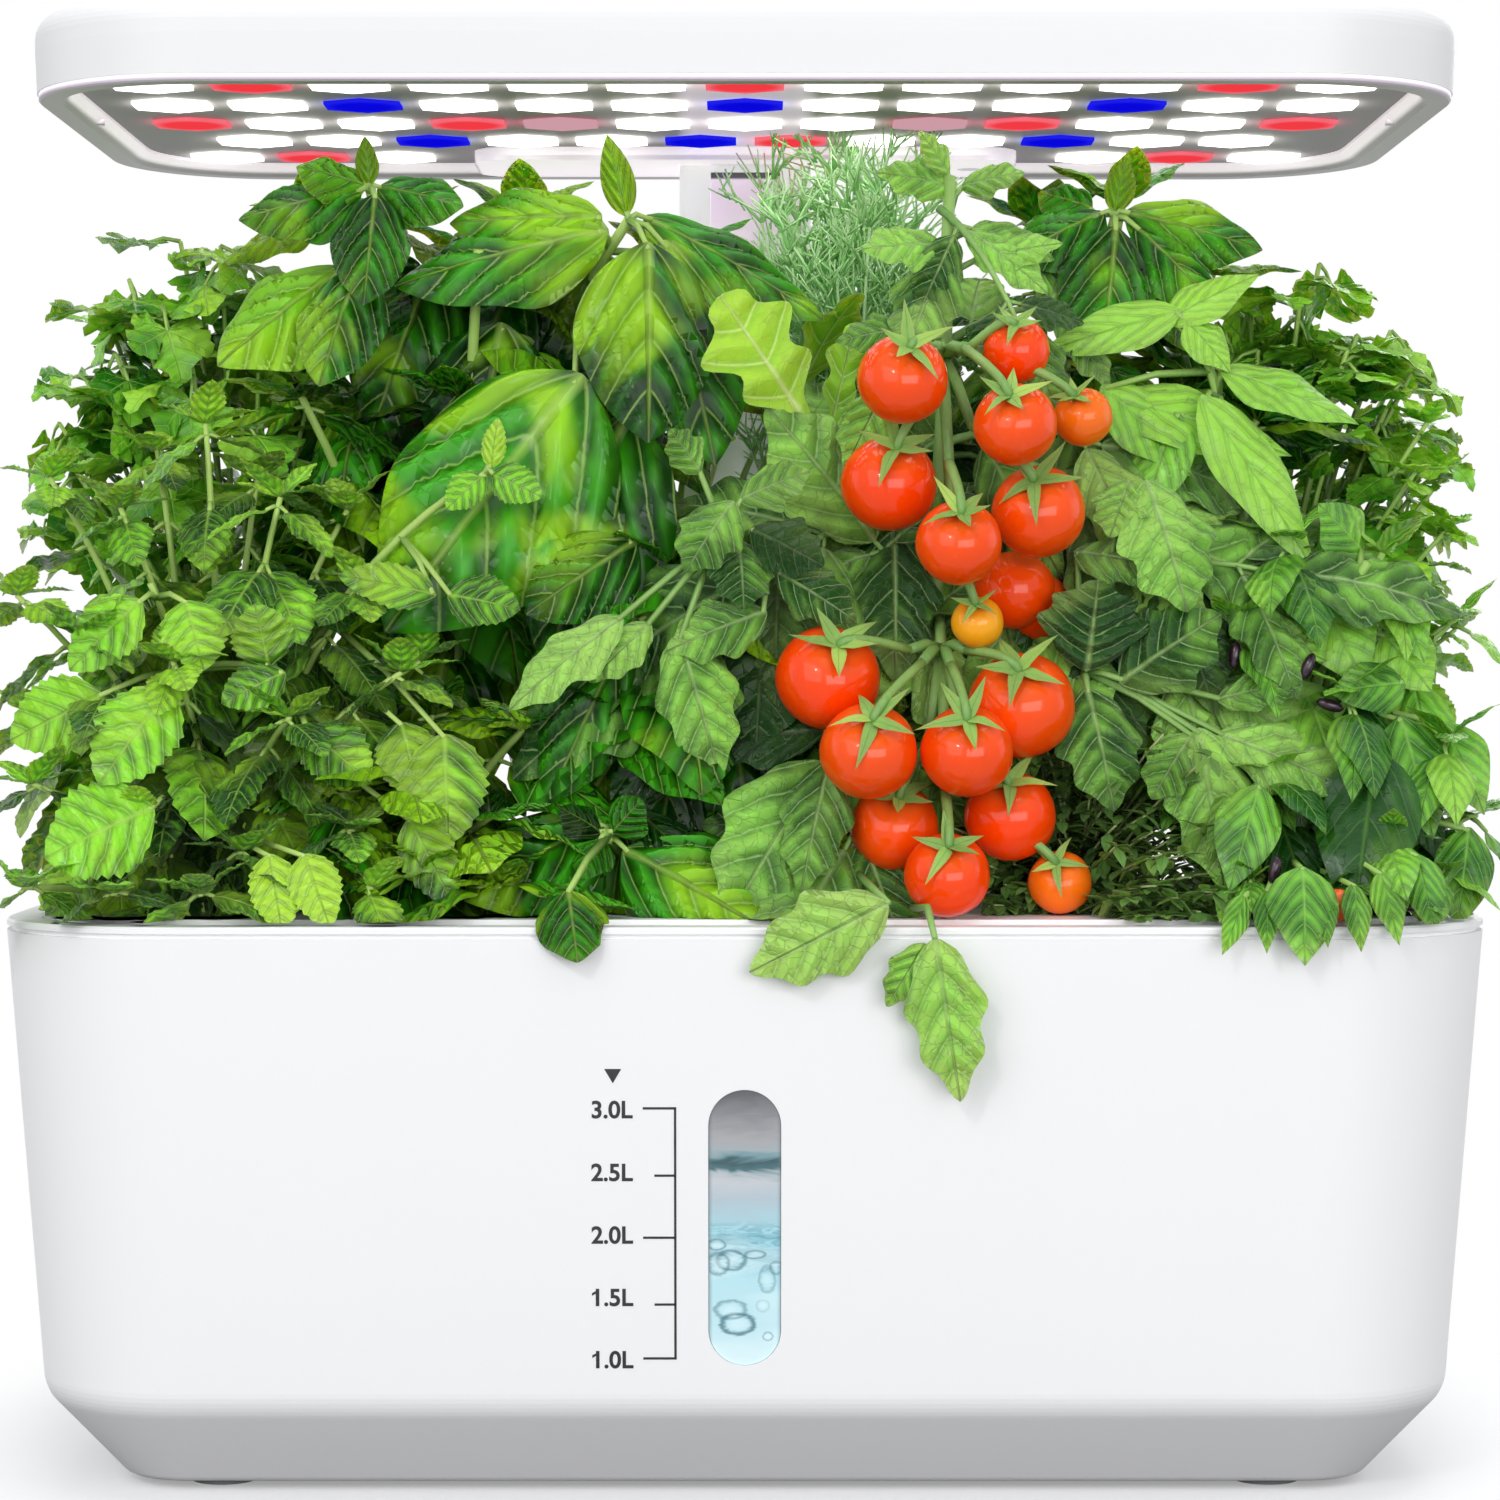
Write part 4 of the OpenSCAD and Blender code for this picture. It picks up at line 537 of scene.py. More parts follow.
class Growth:
    """A growing plant: the points, quads, leaf coordinates and tones of its mesh, in millimetres."""

    # the leaves' limits: the tank's half width, how far past it they go, the deck's top, the wall's front
    edge, give, deck_top, wall = 130.0, 15.0, 104.2, -90.0

    def __init__(self, seed):
        self.random = Random(seed)
        self.points, self.faces, self.coords, self.tones, self.slots = [], [], [], [], []
        self.count = 0
        self.blades = []

    def add(self, points, faces, coords, tone, slot):
        self.points.append(points)
        self.faces.append(faces + self.count)
        self.coords.append(coords)
        self.tones.append(np.full(len(points), tone))
        self.slots.append(np.full(len(faces), slot))
        self.count += len(points)

    def vary(self, share):
        """A factor near 1."""
        return 1 + self.random.uniform(-share, share)

    def jitter(self, amount):
        """A number near 0."""
        return self.random.uniform(-amount, amount)

    def leaf(self, kind, base, along, face, length, width, tone=None, bow=None, roll=0.0, thick=0.35,
             slot=0):
        """A closed blade of one kind, from base along a direction, with face out of its upper side."""
        blade = BLADES[kind]
        along = unit(np.asarray(along, float))
        side = unit(np.cross(face, along))
        normal = np.cross(along, side)
        cos, sin = math.cos(math.radians(roll)), math.sin(math.radians(roll))
        side, normal = side * cos + normal * sin, normal * cos - side * sin
        s = np.linspace(0, 1, blade.rows + 1)[:, None]
        v = np.linspace(-1, 1, blade.cols + 1)[None, :]
        envelope = np.sin(np.pi * np.clip(s, 0.004, 0.997) ** blade.shoulder) ** blade.fullness
        notch = 1 - blade.depth * (0.5 - 0.5 * np.cos(2 * np.pi * blade.teeth * s))
        half = width / 2 * envelope * notch
        x = length * s + blade.sweep * half * np.abs(v)
        y = half * v
        out = np.abs(y) / (width / 2)
        puckers = -np.cos(2 * np.pi * blade.veins * (x / length - blade.lean * out ** 1.3))
        z = blade.fold * np.abs(y) + blade.cup * half * v * v
        z = z + blade.pucker * width * puckers * (1 - v * v) * np.abs(v) * 2.2 * envelope
        z = z - (blade.bow if bow is None else bow) * length * s * s
        ripple = self.random.uniform(0, 6.28)
        z = z + 0.05 * width * np.sin(4.0 * s * np.pi + ripple) * np.abs(v) * envelope
        skin = thick / 2 * (1 - v * v) * envelope
        coords = np.stack([x / length, 0.5 + y / width], axis=-1).reshape(-1, 2)
        local = np.concatenate([np.stack([x, y, z + up * skin], axis=-1).reshape(-1, 3) for up in (1, -1)])
        points = base + local[:, :1] * along + local[:, 1:2] * side + local[:, 2:] * normal
        tone = self.random.random() if tone is None else tone
        if slot == 0:
            self.blades.append((len(self.tones), base + along * length * 0.55))
        self.add(points, grid_faces(blade.rows, blade.cols), np.concatenate([coords, coords]), tone, slot)

    def stem(self, path, thick, thin, sides=6, tone=None):
        """A tapering tube through the points of path; the diameters are at its foot and its tip."""
        path = np.asarray(path, float)
        ways = np.gradient(path, axis=0)
        angles = np.arange(sides) * 2 * math.pi / sides
        rings = []
        side = np.cross(ways[0], [0.3, 0.9, 0.2])
        for i, (point, way) in enumerate(zip(path, ways)):
            way = unit(way)
            side = unit(side - way * np.dot(side, way))
            other = np.cross(way, side)
            radius = (thick + (thin - thick) * i / (len(path) - 1)) / 2
            rings.append(point + radius * (np.cos(angles)[:, None] * side + np.sin(angles)[:,
                                                                                           None] * other))
        shares = np.repeat(np.linspace(0, 1, len(path)), sides)
        coords = np.stack([shares, np.full(len(shares), 0.5)], axis=1)
        tone = self.random.random() if tone is None else tone
        self.add(np.concatenate(rings), tube_faces(len(path), sides), coords, tone, 1)

    def shoot(self, kind, foot, tip, pairs, length, width, bare, droop, front, stem, stalk=0.15,
              tone=(0.0, 1.0), sizes=(1.0, 0.45)):
        """A stem with pairs of leaves, each pair turned across the one below, and a tuft at its tip."""
        path = arch(foot, tip)
        self.stem(path, stem, stem * 0.5)
        turn = self.random.uniform(0, 180)
        places = np.linspace(0, 1, len(path))
        for k in range(pairs):
            share = k / (pairs - 1)
            t = bare + (0.97 - bare) * share
            point = np.array([np.interp(t, places, path[:, i]) for i in range(3)])
            size = (sizes[0] + (sizes[1] - sizes[0]) * share ** 1.6) * self.vary(0.12)
            for opposite in (0, 180):
                angle = turn + 90 * k + opposite + self.jitter(22)
                if math.sin(math.radians(angle)) > 0.25 and self.random.random() < front:
                    angle = -angle + self.jitter(25)
                along, face = heading(angle, droop[0] + (droop[1] - droop[0]) * share + self.jitter(14))
                reach = stalk * length * size
                base = point + along * reach
                if reach > 0.8:
                    self.stem([point, point + along * reach * 0.5 + [0, 0, 0.3], base + along * 0.5], 1.1,
                              0.8, 4)
                self.leaf(kind, base, along, face, length * size, width * size * self.vary(0.08),
                          self.random.uniform(*tone), roll=self.jitter(22))
        for k in range(4):
            along, face = heading(turn + 90 * k + self.jitter(25), -35 + self.jitter(20))
            self.leaf(kind, path[-1], along, face, length * 0.42, width * 0.38, 0.75 + self.jitter(0.25))

    def bough(self, kind, foot, crown, leaves, stem=3.0, face=(0, -0.85, 0.55), bow=0.12):
        """A stem to crown with single leaves, each from its start to its tip, of a width and a tone."""
        path = arch(foot, crown, 0.75, 0.3, 14)
        self.stem(path, stem, stem * 0.55)
        for start, tip, width, tone in leaves:
            start, tip = np.array(start, float), np.array(tip, float)
            heel = path[np.argmin(np.linalg.norm(path + [0, 0, 4] - start, axis=1))]
            self.stem([heel, (heel + start) / 2 + [0, 0, 0.8], start + (tip - start) * 0.04], 1.6, 1.1, 4)
            self.leaf(kind, start, tip - start, np.array(face) + [self.jitter(0.15), 0, self.jitter(0.15)],
                      np.linalg.norm(tip - start), width, tone, bow, roll=self.jitter(8))

    def bead(self, centre, radius, half_length, way, slot):
        """A small oval fruit with its long axis along way."""
        way = unit(np.array(way, float))
        side, other = square_to(way)
        t = np.linspace(0.12, math.pi - 0.12, 7)[:, None, None]
        turn = (np.arange(8) * math.pi / 4)[None, :, None]
        rings = np.array(centre) + radius * np.sin(t) * (np.cos(turn) * side + np.sin(turn) * other) + (
            half_length * np.cos(t) * way)
        self.add(rings.reshape(-1, 3), ring_faces(7, 8), np.tile([0.5, 0.5], (56, 1)), 0.5, slot)

    def within(self, points):
        """The points with the outermost leaves bent in over the tank and the lowest ones on the deck."""
        past = np.clip(np.abs(points[:, 0]) - self.edge, 0, None)
        kept = np.minimum(np.abs(points[:, 0]), self.edge)
        points[:, 0] = np.sign(points[:, 0]) * (kept + self.give * np.tanh(past / self.give))
        over = (points[:, 1] > self.wall) & (np.abs(points[:, 0]) < self.edge + 4)
        points[:, 2] = np.where(over, np.maximum(points[:, 2], self.deck_top - 0.2), points[:, 2])
        return points

    def age_and_shade(self, reach=17.0):
        """Leaves that grow deep inside the plant are older, and darker by painted shade, than those outside
        them.
        """
        if len(self.blades) < 20:
            return
        places = np.array([centre for _, centre in self.blades])
        out = places - places.mean(axis=0)
        out = out / (np.linalg.norm(out, axis=1)[:, None] + 1e-6) + np.array([0, -0.35, 0.25])
        out = out / np.linalg.norm(out, axis=1)[:, None]
        crowds = []
        for centre, way in zip(places, out):
            gap = places - centre
            crowds.append(((np.linalg.norm(gap, axis=1) < reach) & (gap @ way > 3.0)).sum())
        shares = np.clip((np.array(crowds) / np.percentile(crowds, 90) - 0.4) / 0.6, 0, 1)
        for (index, _), share in zip(self.blades, shares):
            # painted shade: the more leaves lie in front of one, the lower its tone
            self.tones[index] = self.tones[index] * (1 - 0.7 * share) - 0.6 * share ** 1.5

    def build(self, name, materials, node, slot_name):
        """The finished piece, in metres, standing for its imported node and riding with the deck."""
        self.age_and_shade()
        points = self.within(np.concatenate(self.points)) * MM
        mesh = new_mesh(name, points.tolist(), np.concatenate(self.faces).tolist(), materials)
        coords, tones = np.concatenate(self.coords).ravel(), np.concatenate(self.tones)
        mesh.attributes.new("leaf", "FLOAT2", "POINT").data.foreach_set("vector", coords)
        mesh.attributes.new("tone", "FLOAT", "POINT").data.foreach_set("value", tones)
        mesh.polygons.foreach_set("material_index", np.concatenate(self.slots).astype(np.int32))
        mesh.polygons.foreach_set("use_smooth", np.ones(len(mesh.polygons), bool))
        mesh.update()
        piece = new_object(name, mesh)
        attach(piece, "deck")
        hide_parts(node)


# ---------------------------------------------------------------- what the user may set

def colour_setting(name, description, code):
    return bpy.props.FloatVectorProperty(name=name, description=description, default=linear(code), size=4,
                                         subtype="COLOR", min=0.0, max=1.0)


def length_setting(name, description, default, low, high):
    return bpy.props.FloatProperty(name=name, description=description, default=default, min=low, max=high,
                                   unit="LENGTH")


class GardenColours(bpy.types.PropertyGroup):
    """Colours of the garden."""

    shell: colour_setting("Shell", "White plastic of tank, deck and lamp", "#F7F7F8")
    mint: colour_setting("Mint", "Light tone of the mint leaves", "#92EA2C")
    basil: colour_setting("Basil", "Light tone of the basil leaves", "#41B012")
    tomato_leaf: colour_setting("Tomato leaf", "Light tone of tomato leaves", "#98E056")
    ripe: colour_setting("Ripe tomato", "Skin of a ripe tomato", "#FF4400")


class GardenSizes(bpy.types.PropertyGroup):
    """Sizes of the leaves."""

    mint_leaf: length_setting("Mint leaf", "Length of a grown mint leaf", 0.026, 0.01, 0.04)
    basil_leaf: length_setting("Basil leaf", "Length of a grown basil leaf", 0.042, 0.02, 0.06)
    tomato_leaflet: length_setting("Tomato leaflet", "Length of a tomato leaflet", 0.030, 0.015, 0.05)
    pepper_leaf: length_setting("Pepper leaf", "Length of a grown pepper leaf", 0.032, 0.015, 0.05)
    parsley_leaflet: length_setting("Parsley leaflet", "Length of a parsley leaflet", 0.0095, 0.005, 0.02)


# ---------------------------------------------------------------- operators

class GARDEN_OT_finishes(bpy.types.Operator):
    """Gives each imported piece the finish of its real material."""

    bl_idname = "garden.finishes"
    bl_label = "Finishes"
    bl_options = {"REGISTER", "UNDO"}

    def execute(self, context):
        shell = moulded_plastic("satin_white_abs", context.scene.garden_colours.shell, 0.42)
        basket = moulded_plastic("moulded_polypropylene", "#E9EAEA", 0.5)
        acetal = moulded_plastic("moulded_acetal", "#D9DADB", 0.35)
        black = moulded_plastic("black_abs", "#1D1E20", 0.45, 0.15)
        steel = zinc_steel()
        finishes = {
            "tank": shell, "deck": shell, "mast_foot": shell, "pump_hanger": shell,
            "lamp_post": washed_post(), "lamp_housing": moulded_plastic("lamp_abs", "#EAEAEB", 0.42),
            "filler_lid": moulded_plastic("lid_abs", "#EAEAEC", 0.42), "gauge_window": wet_window(),
            "window_gasket": moulded_plastic("moulded_silicone", "#6C7073", 0.6),
            "rubber_feet": moulded_plastic("moulded_rubber", "#77787B", 0.8), "lid_hinge_pin": steel,
            "foot_screws": steel, "lamp_screws": steel, "grow_plugs": peat_foam(), "pump_housing": black,
            "pump_grille": black, "pump_impeller": acetal, "guide_shoe": acetal, "post_bush": acetal,
            "mast": moulded_plastic("extruded_abs", "#E8E8EA", 0.38), "pump_foam": filter_foam(),
            "dc_jack": moulded_plastic("moulded_nylon", "#111214", 0.3),
            "post_cover_strip": cover_strip_gloss(), "lamp_bezel": lamp_underside_abs(),
            "led_board": solder_mask("white_solder_mask", "#E4E6E2"),
            "driver_board": solder_mask("green_solder_mask", "#1C5E35"), "key_switches": black,
            "light_button": moulded_plastic("button_abs", "#DFE0E3", 0.4),
            "pump_button": moulded_plastic("button_abs_pump", "#DFE0E3", 0.4),
            **{f"basket_{number}": basket for number in range(1, 13)},
        }
        for name, material in finishes.items():
            dress(name, material)
        return {"FINISHED"}


class GARDEN_OT_lights(bpy.types.Operator):
    """Lights the lenses and makes the glossy panel round them, with the glow that they throw on it and a
    reflection of the post painted on.
    """

    bl_idname = "garden.lights"
    bl_label = "Lights"
    bl_options = {"REGISTER", "UNDO"}

    def execute(self, context):
        spots = []
        for name, core, rim, halo, strength, reach in (
                ("white", "#FFFFFF", "#FFFDF4", "#FFF8EE", 3.0, 1.7 * MM),
                ("red", "#F23B44", "#F5707C", "#FF5F86", 1.0, 1.5 * MM),
                ("blue", "#0503DC", "#1C1CEB", "#B9BCFF", 1.0, 1.5 * MM)):
            centres = [centre for centre, _ in islands(name + "_lenses")]
            dress(name + "_lenses", lit_lens(name, core, rim, strength, centres))
            spots += [(centre, np.array(linear(halo)[:3]), reach) for centre in centres]
        self.panel(spots)
        return {"FINISHED"}

    def panel(self, spots):
        """The panel as a fine grid whose points carry the painted glow of the lenses near them and a painted
        reflection of the post.
        """
        low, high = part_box("light_panel")
        cell = 1.6 * MM
        columns, rows = int((high.x - low.x) / cell), int((high.y - low.y) / cell)
        gx, gy = (g.ravel() for g in np.meshgrid(np.linspace(low.x, high.x, columns + 1),
                                                 np.linspace(low.y, high.y, rows + 1), indexing="ij"))
        lens_edge, reflection_half, reflection_blur = 6.9 * MM, 11.6 * MM, 1.2 * MM
        glow = np.zeros((len(gx), 3))
        for centre, colour, reach in spots:
            past = np.clip(np.hypot(gx - centre.x, gy - centre.y) - lens_edge, 0, None)
            glow += np.exp(-past / reach)[:, None] * colour * 0.6
        # painted reflection of the post: a pale band down the middle of the panel
        post_reflection = 1 - np.clip((np.abs(gx) - reflection_half) / reflection_blur, 0, 1)
        glow += post_reflection[:, None] * np.array(linear("#C9BECB")[:3]) * 0.8
        beyond = self.outside(gx, gy, low, high)
        quads = [(k, k + 1, k + rows + 2, k + rows + 1)
                 for i in range(columns) for k in range(i * (rows + 1), i * (rows + 1) + rows)]
        quads = [quad for quad in quads if not beyond[list(quad)].any()]
        used = sorted({k for quad in quads for k in quad})
        count = len(used)
        index = {k: n for n, k in enumerate(used)}
        lower = [tuple(index[k] for k in quad) for quad in quads]
        upper = [tuple(k + count for k in reversed(quad)) for quad in lower]
        edges = {edge: True for quad in lower for edge in zip(quad, quad[1:] + quad[:1])}
        rim = [(b, a, a + count, b + count) for a, b in edges if (b, a) not in edges]
        points = [(gx[k], gy[k], height) for height in (low.z, high.z) for k in used]
        mesh = new_mesh("glowing_light_panel", points, lower + upper + rim, [glossy_panel()])
        shades = np.ones((2 * count, 4))
        shades[:, :3] = np.concatenate([glow[used], glow[used]])
        mesh.attributes.new("glow", "FLOAT_COLOR", "POINT").data.foreach_set("color", shades.ravel())
        piece = new_object("glowing_light_panel", mesh)
        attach(piece, "lamp")
        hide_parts("light_panel")

    def outside(self, x, y, low, high):
        """Whether points lie outside the panel's rounded outline or inside the post's dock."""
        radius, hair = 26.6 * MM, 0.001 * MM
        dock_half, dock_front = 53.1 * MM, 24.6 * MM
        cx = np.clip(x, low.x + radius, high.x - radius)
        cy = np.clip(y, low.y + radius, high.y - radius)
        return (np.hypot(x - cx, y - cy) > radius + hair) | ((np.abs(x) < dock_half) & (y > dock_front))


class GARDEN_OT_level_scale(bpy.types.Operator):
    """Prints the level scale on the front wall: a bracket with ticks, numbers and a full mark."""

    bl_idname = "garden.level_scale"
    bl_label = "Level scale"
    bl_options = {"REGISTER", "UNDO"}

    draft = math.radians(4.45)
    wall_top = 101.3
    ink_gap = 0.04

    def on_wall(self, x, z):
        """A point on the leaning front wall, in metres, from its place and height in millimetres."""
        set_back = (self.wall_top - z) * math.tan(self.draft) - self.ink_gap
        return Vector((x * MM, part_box("tank")[0].y + set_back * MM, z * MM))

    def execute(self, context):
        ink = screen_ink()
        bracket_x, line = -12.26, 0.42
        mark_x, mark_z, mark = -23.2, 77.2, 1.5
        number_x, top_number, number_step = bracket_x - 7.5, 71.0, 11.2
        ticks = ((71.4, 5.9), (59.4, 3.9), (48.3, 5.9), (36.3, 3.9), (26.6, 5.9))
        top, bottom = ticks[0][0], ticks[-1][0]
        strips = [(bracket_x, (top + bottom) / 2, line, top - bottom + line)]
        strips += [(bracket_x - tick / 2 + line / 2, height, tick, line) for height, tick in ticks]
        shapes = [[(x - w / 2, z - h / 2), (x + w / 2, z - h / 2), (x + w / 2, z + h / 2),
                   (x - w / 2, z + h / 2)]
                  for x, z, w, h in strips]
        shapes.append([(mark_x + dx * mark, mark_z + dz * mark) for dx,
                       dz in ((-1, 0.8), (0, -0.9), (1, 0.8))])
        # the flag of the figure 1 in 1.5 and 1.0
        flag = ((-27.0, 0.97), (-27.0, 0.47), (-26.1, 1.0), (-26.1, 1.42))
        shapes += [[(x, height + z) for x, z in flag] for height in (37.4, 26.2)]
        points = [self.on_wall(*corner) for shape in shapes for corner in shape]
        order = iter(range(len(points)))
        faces = [[next(order) for _ in shape] for shape in shapes]
        lines = new_object("level_scale_lines", new_mesh("level_scale_lines", points, faces, [ink]))
        thicken = lines.modifiers.new("ink", "SOLIDIFY")
        thicken.thickness = 0.05 * MM
        thicken.offset = 0
        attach(lines, "tank")
        for k in range(5):
            text = bpy.data.curves.new(f"level_number_{k}", "FONT")
            text.body = f"{3.0 - 0.5 * k:.1f}L"
            text.size = 4.3 * MM
            text.offset = 0.1 * MM
            text.extrude = 0.03 * MM
            text.align_x = "RIGHT"
            text.align_y = "CENTER"
            text.materials.append(ink)
            number = new_object(f"level_number_{k}", text)
            spot = self.on_wall(number_x, top_number - number_step * k)
            number.matrix_world = Matrix.Translation(spot) @ Matrix.Rotation(math.pi / 2 + self.draft, 4,
                                                                             "X")
            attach(number, "tank")
        return {"FINISHED"}


class GARDEN_OT_mint(bpy.types.Operator):
    """Grows the mint at the front left."""

    bl_idname = "garden.mint"
    bl_label = "Mint"
    bl_options = {"REGISTER", "UNDO"}

    def execute(self, context):
        plant = Growth(3)
        leaf = context.scene.garden_sizes.mint_leaf / MM
        foot = pod(1)
        tips = [(-129, -46, 184), (-114, -58, 178), (-100, -46, 194), (-85, -56, 180), (-70, -56, 164),
                (-120, -64, 154), (-103, -68, 150), (-82, -68, 140), (-62, -66, 148), (-133, -58, 162),
                (-92, -34, 184), (-112, -26, 190), (-74, -44, 178), (-128, -70, 128), (-108, -74, 122),
                (-90, -74, 116), (-70, -74, 120), (-134, -40, 140), (-60, -50, 150), (-128, -80, 110),
                (-112, -82, 109), (-96, -84, 109), (-66, -80, 110)]
        for tip in tips:
            low = tip[2] < 130
            plant.shoot("mint", foot + [plant.jitter(3), plant.jitter(3), -1], tip, 3 if low else 5, leaf,
                        leaf * 0.7, bare=0.3, droop=(66, 20), front=0.8, stem=2.2, tone=(0.05, 0.9),
                        sizes=(1.0, 0.5))
        plant.bough("mint", foot, (-108, -62, 164), [
            ((-103, -72, 145), (-115, -79, 129), 17, 0.8), ((-116, -66, 144), (-132, -70, 136), 15, 0.85),
            ((-105, -78, 124), (-124, -82, 116), 20, 1.0), ((-86, -66, 149), (-88, -69, 160), 12, 0.35),
            ((-83, -66, 148), (-94, -70, 143), 10, 0.45), ((-109, -66, 161), (-122, -69, 149), 13, 0.75),
            ((-101, -66, 161), (-97, -71, 149), 13, 0.7), ((-84, -82, 116), (-81, -88, 103), 10, 1.0),
            ((-78, -82, 116), (-73, -88, 104), 10, 0.98)], stem=2.2, face=(0, -0.9, 0.35))
        plant.bough("mint", foot, (-47, -62, 184), [
            ((-54, -70, 137), (-53, -77, 118), 16, 0.4), ((-62, -68, 139), (-58, -75, 126), 13, 0.15),
            ((-79, -70, 138), (-67, -75, 129), 13, 0.5), ((-60, -74, 122), (-52, -80, 107), 11, 0.3),
            ((-56, -62, 162), (-73, -66, 166), 9, 0.3), ((-54, -62, 162), (-41, -66, 160), 11, 0.4),
            ((-47, -62, 184), (-54, -65, 178), 8, 0.6), ((-46, -62, 184), (-37, -66, 180), 8, 0.5),
            ((-46, -62, 185), (-45, -63, 194), 5, 1.0)], stem=2.4, face=(0, -0.9, 0.35))
        mint = leaf_material("mint_leaf", "mint", "#0F4206", context.scene.garden_colours.mint, "#AEE05C",
                             0.42, 0.6, young="#B8EC3A", youth=0.4, sheen=0.08, coat=0.25, contrast=1.6,
                             sunlit=0.5)
        plant.build("mint", [mint, stem_material("mint_stem", "#6F9E34", "#B4D666")], "plant_mint",
                    "leaf_mint")
        return {"FINISHED"}


